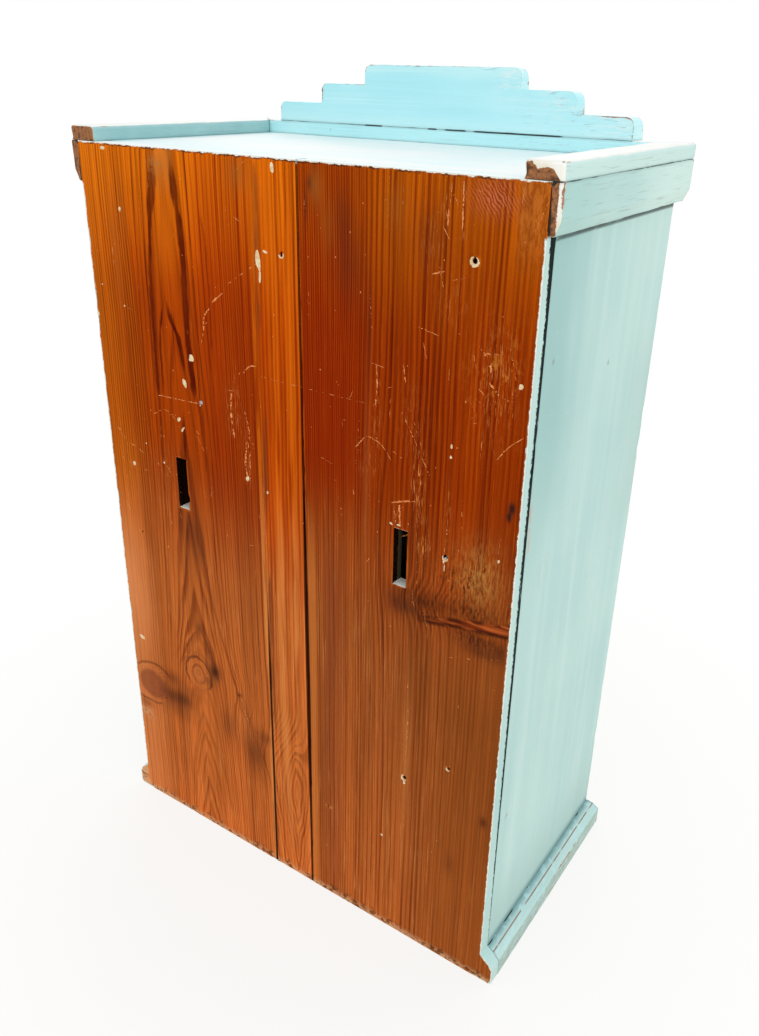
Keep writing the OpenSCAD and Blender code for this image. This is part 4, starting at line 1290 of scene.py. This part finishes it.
def make_camera():
    """The photograph's viewpoint, solved from the cupboard's own edges."""
    place = Vector((-0.32859, 0.47941, 0.54062))
    yaw, pitch, roll = 2.556365, -0.432563, -0.024671
    focal, centre, size = 914.52, (388.508, 495.742), (759, 1036)
    forward = Vector((math.sin(yaw) * math.cos(pitch), math.cos(yaw) * math.cos(pitch), math.sin(pitch)))
    right = forward.cross(Vector((0, 0, 1))).normalized()
    down = forward.cross(right)
    turned_right = right * math.cos(roll) + down * math.sin(roll)
    turned_down = down * math.cos(roll) - right * math.sin(roll)
    data = bpy.data.cameras.new("photo_camera")
    data.sensor_width = 36.0
    data.lens = focal * data.sensor_width / max(size)
    data.shift_x = (size[0] / 2 - centre[0]) / max(size)
    data.shift_y = (centre[1] - size[1] / 2) / max(size)
    data.clip_start, data.clip_end = 0.01, 50
    camera = in_scene("photo_camera", data)
    camera.matrix_world = Matrix((
        (turned_right.x, -turned_down.x, -forward.x, place.x),
        (turned_right.y, -turned_down.y, -forward.y, place.y),
        (turned_right.z, -turned_down.z, -forward.z, place.z),
        (0, 0, 0, 1)))
    bpy.context.scene.camera = camera


def seen_directly(tree):
    """1 for what the camera sees, also in a mirror or through glass."""
    path = tree.nodes.new("ShaderNodeLightPath")
    total = path.outputs["Is Camera Ray"]
    for name in ("Is Glossy Ray", "Is Transmission Ray"):
        either = tree.nodes.new("ShaderNodeMath")
        either.operation = "MAXIMUM"
        tree.links.new(total, either.inputs[0])
        tree.links.new(path.outputs[name], either.inputs[1])
        total = either.outputs[0]
    return total


def make_room():
    """A pale floor that fades to white, an even white world and soft lamps."""
    world = bpy.data.worlds.new("room")
    bpy.context.scene.world = world
    world.use_nodes = True
    tree = world.node_tree
    tree.nodes.clear()
    end = tree.nodes.new("ShaderNodeOutputWorld")
    choose = tree.nodes.new("ShaderNodeMixShader")
    tree.links.new(seen_directly(tree), choose.inputs[0])
    tree.links.new(choose.outputs[0], end.inputs[0])
    for share, colour, strength in ((1, (0.97, 0.99, 1.0, 1), 0.86), (2, (1, 1, 1, 1), 1.0)):
        light = tree.nodes.new("ShaderNodeBackground")
        light.inputs["Color"].default_value = colour
        light.inputs["Strength"].default_value = strength
        tree.links.new(light.outputs[0], choose.inputs[share])

    bm = bmesh.new()
    bmesh.ops.create_circle(bm, cap_ends=True, segments=64, radius=6.0)
    floor = in_scene("floor", mesh_from("floor", bm))
    t = Tree("floor_sheet")
    sheet = t.add("ShaderNodeBsdfDiffuse")
    t.feed(sheet.inputs["Color"], t.mix(t.noise(30, 1, 3), (244, 238, 222), (248, 244, 234)))
    glow = t.add("ShaderNodeEmission")
    glow.inputs["Color"].default_value = (1, 1, 1, 1)
    choose, end = t.add("ShaderNodeMixShader"), t.add("ShaderNodeOutputMaterial")
    share = t.step(t.far(t.x, t.y), 160, 480) * 0.2 + 0.8
    for value, socket in (
        (share * Num(t, seen_directly(t.tree)), choose.inputs[0]), (sheet.outputs[0], choose.inputs[1]),
        (glow.outputs[0], choose.inputs[2]), (choose.outputs[0], end.inputs["Surface"]),
    ):
        t.feed(socket, value)
    floor.data.materials.append(t.material)

    aim = Vector((0, 0, 0.3))
    for name, place, size, power, tint in (
        ("lamp_above", (-0.3, 0.35, 1.75), 1.5, 3.5, (1.0, 1.0, 1.0)),
        ("lamp_rear_left", (-1.6, 0.7, 1.0), 1.2, 4.5, (1.0, 0.99, 0.97)),
        ("lamp_front", (0.9, -1.5, 1.2), 1.2, 4.0, (1.0, 1.0, 1.0)),
    ):
        data = bpy.data.lights.new(name, "AREA")
        data.shape, data.size, data.energy, data.color = "SQUARE", size, power, tint
        lamp = in_scene(name, data)
        lamp.location = place
        lamp.rotation_mode = "QUATERNION"
        lamp.rotation_quaternion = (aim - Vector(place)).to_track_quat("-Z", "Y")
    bpy.context.scene.view_settings.view_transform = "Standard"


# ---- Where the joints between pieces show as dark lines ----


def dashes(t, along, length, seed, low=0.42, high=0.54):
    return t.specks(low, high, waves(along, length, 4), seed, 3, 0.62)


def parted(t, gap, half):
    """1 within half a width, in mm, of the joint."""
    return t.step(gap - half, 0.12, -0.12)


def side_seam(t, gap):
    """Between a side and the back boards: jagged and black, widest below the cornice, painted over near the foot."""
    behind = t.y - INNER_BACK_Y
    jag = t.noise(waves("Z", 2.2, 1.6), 201, 4, 0.8) - 0.5
    wide = t.curve(t.z, [(15, -1.0), (60, 0.3), (110, 1.4), (200, 2.3), (330, 3.1), (420, 2.9), (455, 3.9), (477, 5.6)])
    shows = t.step(t.z, FASCIA_Z + 1, FASCIA_Z) * t.step(t.x.abs(), HALF_W - 1.4, HALF_W - 1.0)
    inside = t.step(behind + jag, -0.5, -0.3) * t.step(behind - wide - jag * 7, 0.2, -0.2)
    return inside * shows * dashes(t, "Z", 26, 202, 0.32, 0.4)


def cornice_seam(along, seed):
    def where(t, gap):
        """Between a rail and its strip, in dashes on their outer faces, and under the strip."""
        outside = t.step(t.x.abs(), HALF_W + 3, HALF_W + 5).max(t.step(t.y, FRONT_Y - 3, FRONT_Y - 5))
        between = t.step((t.z - TOP_Z).abs(), 2.0, 1.6) * outside * dashes(t, along, 26, seed, 0.46, 0.58) * 0.24
        end = t.step(t.y, BACK_Y - 1.5, BACK_Y - 0.5)
        opening = end * t.step(t.x.abs(), HALF_W + 2.6, HALF_W + 2.2) * (
            t.step(t.z, TOP_Z - 2, FASCIA_Z + 4) * 0.8 + 0.2) * t.step(t.z, TOP_Z, TOP_Z - 1)
        foot = end * t.step((t.z - TOP_Z).abs(), 2.0, 1.6) * 0.32
        under = t.step(t.z, FASCIA_Z + 2, FASCIA_Z + 1.4) * 0.3
        return parted(t, gap, between.max(opening).max(under).max(foot) - 0.02)
    return where


def pediment_seam(t, gap):
    """Along the pediment's foot, in four stretches."""
    shows = t.band(t.x, -87, -27, 2) + t.band(t.x, -21, -6, 1) + t.band(t.x, 0.5, 7, 1) + t.band(t.x, 43, 57, 1)
    faint = dashes(t, "X", 18, 210, 0.5, 0.6) * 0.12
    return parted(t, gap, t.step((t.z - RAIL_Z).abs(), 2.0, 1.6) * (shows * 0.42).max(faint) - 0.02)


def base_seam(t, gap):
    """Behind the base moulding's upper edge: two dark slits."""
    slit = t.band(t.y, 81, 86, 1).max(t.band(t.y, 52, 64, 1.5)).max(dashes(t, "Y", 16, 214, 0.6, 0.66))
    return parted(t, gap, t.step(t.z, BASE_Z - 2, BASE_Z - 1.5) * slit * 0.7 - 0.02)


# ---- How the paint differs from piece to piece ----


def side_bare(sign):
    """The inner face of a side is bare behind the strip that was painted from the front."""
    def where(t):
        ragged = t.sway(9, 12, 7, 3)
        inner = t.step(t.nx * -sign, 0.5, 0.8) * t.step(t.y + ragged, FRONT_Y + 12, FRONT_Y + 12.6)
        return inner.max(t.step(t.nz, -0.5, -0.8)).max(t.step(t.ny, 0.6, 0.8))
    return where


def side_tune(t, look):
    """The side is bluer and darker towards its upper rear and greyer towards its foot. Under the cornice it is greyer
    as painted shade, with a broken dark line of painted shadow, and just above the base moulding it is darker as
    painted shade.
    """
    drift = (t.noise((70, 70, 150), 77, 3) - 0.5)
    rear = t.step(t.y + drift * 60, 0, 85) * t.step(t.z + drift * 90, 270, 400)
    look.lay(rear * 0.85, (149, 193, 194))
    front = t.step(t.y + drift * 60, -10, -70) * t.band(t.z + drift * 60, 280, 400, 25)
    look.lay(front * 0.45, (168, 200, 196))
    look.lay(t.step(t.y, -20, -80) * t.step(t.z, 415, 450) * 0.4, (210, 236, 232))
    look.lay(t.step(t.z + drift * 60, 95, 24) * 0.5, (164, 194, 190))
    look.lay(t.step(t.y, 60, 88) * 0.25, (168, 204, 200))
    # Painted shade on the side under the cornice, and a broken dark line of painted shadow just under the cornice's
    # strip.
    look.lay(t.step(t.z, FASCIA_Z - 3.5, FASCIA_Z) * 0.3, (128, 166, 164))
    look.lay(t.step(t.z, FASCIA_Z - 3.6, FASCIA_Z - 2.0) * dashes(t, "Y", 40, 218, 0.26, 0.46) * 0.85,
            (38, 52, 50))
    # Painted shade in the corner just above the base moulding.
    look.lay(t.step(t.z, BASE_Z + 9, BASE_Z - 1) * 0.8, (98, 142, 148))
    # Pinkish scrapes, specks and a smudge.
    for y, z, wide, tall, share, tint in (
        (86, 334, 2.2, 9, 0.75, (206, 160, 146)), (84, 318, 1.6, 6, 0.6, (206, 160, 146)),
        (76, 415, 1.4, 1.8, 0.8, (140, 150, 140)), (0, 397, 1.2, 1.5, 0.8, (130, 140, 132)),
        (62, 292, 7, 10, 0.22, (150, 182, 176)), (78, 127, 2.0, 2.4, 0.6, (150, 150, 136)),
        (-30, 250, 9, 40, 0.12, (236, 248, 244)), (34, 190, 10, 60, 0.16, (170, 204, 200)),
    ):
        spot = t.blob(y, z, wide, tall, t.y) * t.specks(0.36, 0.56, (3, 3, 5), y + 300, 3)
        look.lay(spot * share, tint)
    hair = t.noise((60, 0.7, 60), 79) * 0.5 + t.noise((60, 40, 1.1), 80) * 0.5
    look.lay(t.step(hair, 0.64, 0.7) * 0.35, (232, 246, 243))


def cornice_tune(t, look):
    """Rails and strips: their upper faces are lighter, unevenly, as painted light from above, the right-hand rail's
    inner face is darker as painted shade, and the thick paint on their rear ends is cream.
    """
    # Painted light: the upper faces are near white, unevenly.
    up = t.step(t.nz, 0.45, 0.85)
    patch_noise = t.noise(14, 221, 3)
    look.lay(up * (0.6 + patch_noise * 0.5), (249, 244, 239))
    # Painted shade on the right-hand rail's inner face.
    inside = t.step(t.nx, -0.5, -0.8) * t.step(t.x, 0, 5)
    look.lay(inside * (0.45 + patch_noise * 0.5), (140, 188, 192))
    below = t.step(t.z, TOP_Z + 1, TOP_Z) * t.step(t.x.abs(), HALF_W, HALF_W + 1)
    look.lay(below * t.step(t.y, 30, 85) * 0.6, (160, 204, 202))
    look.lay(below * t.step(t.y, 25, -50) * 0.75, (212, 238, 233))
    outer = t.step(t.z, TOP_Z, TOP_Z + 1) * t.step(t.x.abs(), HALF_W + 4, HALF_W + 6) * (1 - up)
    look.lay(outer * 0.5, (216, 242, 238))
    scuff = t.specks(0.6, 0.68, (40, 26, 0.8), 222, 3) * (1 - up)
    look.lay(scuff * 0.35, (138, 158, 152))
    end = t.step(t.ny, 0.5, 0.8) * t.step(t.y, BACK_Y - 4, BACK_Y - 2)
    look.lay(end, t.mix(t.step(patch_noise, 0.4, 0.65), (251, 250, 245), (236, 228, 206)))


def cornice_end_bare(t):
    """The rear ends of the right rail and strip are bare. On the left, cream paint covers the rail's end along its
    top and outer side only, and a ragged edge of it runs down the strip's end."""
    ragged = t.noise(1.8, 8, 4, 0.68) - 0.5
    inward = t.x + HALF_W + 6
    line = t.curve(inward, [(0, -2), (2.3, 0.4), (4.8, 3.5), (6.6, 5.1), (9.3, 5.6), (13, 4.8), (15.2, 6.6),
                            (17.5, 7.7), (20, 7.2)]) + TOP_Z
    rail = t.step(t.z + ragged * 2.4 - line, 0.25, -0.25)
    strip = t.step(inward + ragged * 2.0, 2.2, 2.7)
    left = t.blend(t.step(t.z, TOP_Z - 0.2, TOP_Z + 0.2), strip, rail)
    return t.step(t.ny, 0.5, 0.75) * t.step(t.y, BACK_Y - 3, BACK_Y - 1.5) * left.max(t.step(t.x, 0, 5))


def pediment_tune(t, look):
    """The pediment is whitish where its right-hand corners were handled, and on its upper faces as painted light, with
    small grey marks.
    """
    worn_in = t.noise((9, 9, 2.2), 226, 4, 0.65)
    ends = t.blob(-118, 515, 16, 8) + t.blob(-86, 526, 14, 7) * 0.7 + t.blob(-52, 538, 9, 9)
    look.lay((ends * t.step(worn_in, 0.44, 0.62)).clamp() * 0.7, (236, 247, 246))
    # Painted light on the upper faces.
    look.lay(t.step(t.nz, 0.5, 0.9) * 0.6, (230, 244, 242))
    lowest = t.step(t.z, RAIL_Z + 14, RAIL_Z)
    look.lay(lowest * 0.45, (218, 252, 253))
    marks = t.specks(0.63, 0.7, (8, 30, 0.9), 227, 3) * t.step(t.x, -40, -90)
    look.lay(marks * 0.35, (142, 168, 168))


def front_rail_tune(t, look):
    """Paler above and on its face towards the back, both painted light, and marked with grey along its inner face
    towards the left.
    """
    cornice_tune(t, look)
    # Painted light on the face that looks towards the back.
    look.lay(t.step(t.ny, 0.5, 0.8) * 0.5, (198, 248, 252))
    marks = t.specks(0.54, 0.68, (9, 30, 1.2), 229, 4, 0.7) * t.band(t.x, -125, -55, 14)
    look.lay(marks * 0.32, (126, 140, 142))


def tray_tune(t, look):
    """The tray's paint is bluer at its front and lies in streaks along its length."""
    look.lay(t.step(t.y, -20, -62) * 0.15, (212, 240, 243))
    streak = t.specks(0.5, 0.66, (150, 3.2, 40), 231, 3) * (t.step(t.y, 30, -50) * 0.08 + 0.12)
    look.lay(streak, (196, 234, 240))
    look.lay(t.step(t.x, 126, 142) * 0.5, (160, 206, 210))


def base_tune(t, look):
    """The base moulding's arris shows as a thin brown line, and its upright face is greyer and dirtier."""
    out = (t.x.abs() - HALF_W).max((FRONT_Y - t.y) * 1.8)
    u, w = out - 4.6, t.z - 19
    line = t.step(t.far(u, w), 0.75, 0.35)
    dirt = t.noise(6, 233, 4, 0.65)
    look.lay(t.step(t.z, 14.5, 12.5) * (dirt * 0.9 + 0.1), (152, 164, 150))
    look.lay(t.step(out, 4.8, 0.4) * t.step(t.z, 15, 19) * 0.75, (104, 150, 154))
    bloom = t.specks(0.52, 0.62, (9, 9, 4), 234, 3, 0.6)
    look.lay(bloom * 0.4, (196, 236, 240))
    along = t.noise(12, 235, 4, 0.65)
    look.lay(line * t.step(along, 0.36, 0.48) * 0.85, t.mix(along, (96, 70, 58), (170, 120, 96)))


def underside_bare(t):
    return t.step(t.nz, -0.6, -0.8)


def front_lip_bare(t):
    """Bare behind a painted front edge."""
    ragged = t.sway(8, 10, 9, 3)
    return t.step(t.y + ragged, FRONT_Y + 13, FRONT_Y + 13.6)


# ---- Putting it together ----


def dress_cupboard():
    """Gives every node of the CAD its material, and the wooden ones their wear."""
    side_paint = {
        side: painted(f"paint_{side}_side", "Z", seed, "side", 0.7, side_bare(sign), (0, 40, 0), side_tune, side_seam)
        for side, seed, sign in (("left", 2, -1), ("right", 5, 1))}
    rail_y, fascia_y = (
        painted(f"paint_{part}_along_side", "Y", seed, "side", wear, cornice_end_bare, heart, cornice_tune,
                cornice_seam("Y", 205))
        for part, seed, wear, heart in (("rail", 8, 1.2, (-150, 0, 530)), ("fascia", 15, 1.0, (-120, 0, 470))))
    rail_x = painted("paint_rail_along_front", "X", 12, "top", 1.1, None, (0, -40, 540), front_rail_tune,
                     lambda t, gap: cornice_seam("X", 206)(t, gap).max(pediment_seam(t, gap)))
    fascia_x = painted("paint_fascia_along_front", "X", 18, seam=cornice_seam("X", 206))
    # The base mouldings get more of the darkening along joints (dirt and painted shade) than other pieces.
    base_y, base_x = (
        painted(f"paint_base_along_{way}", axis, seed, "side", 1.2, underside_bare, tune=base_tune, seam=base_seam,
                dirt=0.9)
        for way, axis, seed in (("side", "Y", 21), ("front", "X", 24)))
    step_paint = painted("paint_pediment", "X", 27, "top", 0.8, None, (0, -40, 520), pediment_tune, pediment_seam)
    tray_paint = painted("paint_tray", "X", 31, "tray", 0.6, underside_bare, tune=tray_tune, dirt=0.25)
    stile_paint = painted("paint_stiles", "Z", 35)
    door_rail_paint = painted("paint_door_rails", "X", 38)
    panel_paint = painted("paint_panels", "Z", 42, wear=0.8)
    head_paint = painted("paint_head_rail", "X", 45, wear=0.9)
    lip_paint = painted("paint_bottom_board", "X", 48, bare=front_lip_bare, heart=(0, 20, -30))
    shelf_pine = bare_pine("pine_shelves", "X", 51, (0, 60, 40))
    stop_pine = bare_pine("pine_stop", "X", 54, (0, -90, 440))
    dowel_pine = bare_pine("pine_dowels", "Z", 57, (85, -70, 0))

    # A strip's slices lie pitch mm apart along it and, where across isn't 0, across mm apart over its width.
    strip = dict(pitch=4, across=0)
    board = dict(pitch=9, boxed=True)
    for side in ("left", "right"):
        for part, material, rounding, dent, nick, cuts in (
            ("side", side_paint[side], 0.8, 0.32, 1.5, dict(boxed=True)), ("top_rail", rail_y, 1.7, 0.4, 1.6, strip),
            ("fascia", fascia_y, 0.8, 0.4, 1.6, strip),
            ("base_moulding", base_y, 0.8, 0.16, 0.7, dict(strip, pitch=5)),
            ("door_hinge_stile", stile_paint, 0.7, 0.25, 1.0, board),
            ("door_lock_stile", stile_paint, 0.7, 0.25, 1.2, board),
            ("door_top_rail", door_rail_paint, 0.5, 0.2, 0.8, dict(pitch=9)),
            ("door_bottom_rail", door_rail_paint, 0.5, 0.2, 0.8, dict(pitch=9)),
            ("door_panel", panel_paint, 0.3, 0.0, 0.0, dict(wave=0.08, pitch=12)),
        ):
            worn(f"{side}_{part}", material, "paint", rounding, dent, nick, **cuts)
        dress(f"{side}_knob", knob_material(f"paint_{side}_knob", 61 if side == "left" else 66))
    for name, material, slot_name, rounding, dent, nick, cuts in (
        ("front_top_rail", rail_x, "paint", 1.0, 0.4, 1.6, strip),
        ("front_fascia", fascia_x, "paint", 0.8, 0.4, 1.6, strip),
        ("front_base_moulding", base_x, "paint", 0.8, 0.16, 0.7, dict(strip, pitch=5)),
        ("pediment", step_paint, "paint", 1.2, 0.35, 1.2, dict(pitch=5)),
        ("top_board", tray_paint, "paint", 0.6, 0.2, 0.8, board),
        ("head_rail", head_paint, "paint", 0.7, 0.25, 1.0, dict(pitch=9)),
        ("bottom_board", lip_paint, "paint", 0.8, 0.3, 1.2, board),
        ("lower_shelf", shelf_pine, "bare_pine", 0.9, 0.3, 1.2, board),
        ("upper_shelf", shelf_pine, "bare_pine", 0.9, 0.3, 1.2, board),
        ("door_stop", stop_pine, "bare_pine", 0.7, 0.25, 1.0, dict(pitch=9)),
    ):
        worn(name, material, slot_name, rounding, dent, nick, **cuts)

    for name, rings_of, seed, marks, tone, tight in (
        ("right_back_board", right_board_rings, 1, right_board_marks, 1.06, 1.0),
        ("middle_back_board", middle_board_rings, 2, middle_board_marks, 1.16, 1.0),
        ("left_back_board", left_board_rings, 3, left_board_marks, 0.84, 0.4),
    ):
        worn(name, back_material("pine_" + name, rings_of, seed, marks, tone), "bare_pine", 0.7, 0.25, 0.8,
             wave=0.0, pitch=5, before=drill, tight=tight, reach=1.0)
    back_marks()

    brass = metal("old_brass", BRASS, (112, 84, 44), 101)
    steel = metal("dull_steel", STEEL, (96, 92, 88), 104, 0.42)
    catch = plastic("catch_plastic", CATCH, 107)
    for name in NODES:
        if name.endswith("_leaf") or name.endswith("_pin") or "hinge_screws" in name:
            dress(name, brass)
        elif name.endswith("knob_screw") or name.endswith("catch_plate"):
            dress(name, steel)
        elif name.endswith("_catch"):
            dress(name, catch, 0.6)
    dress("pediment_dowels", dowel_pine)


dress_cupboard()
make_room()
make_camera()
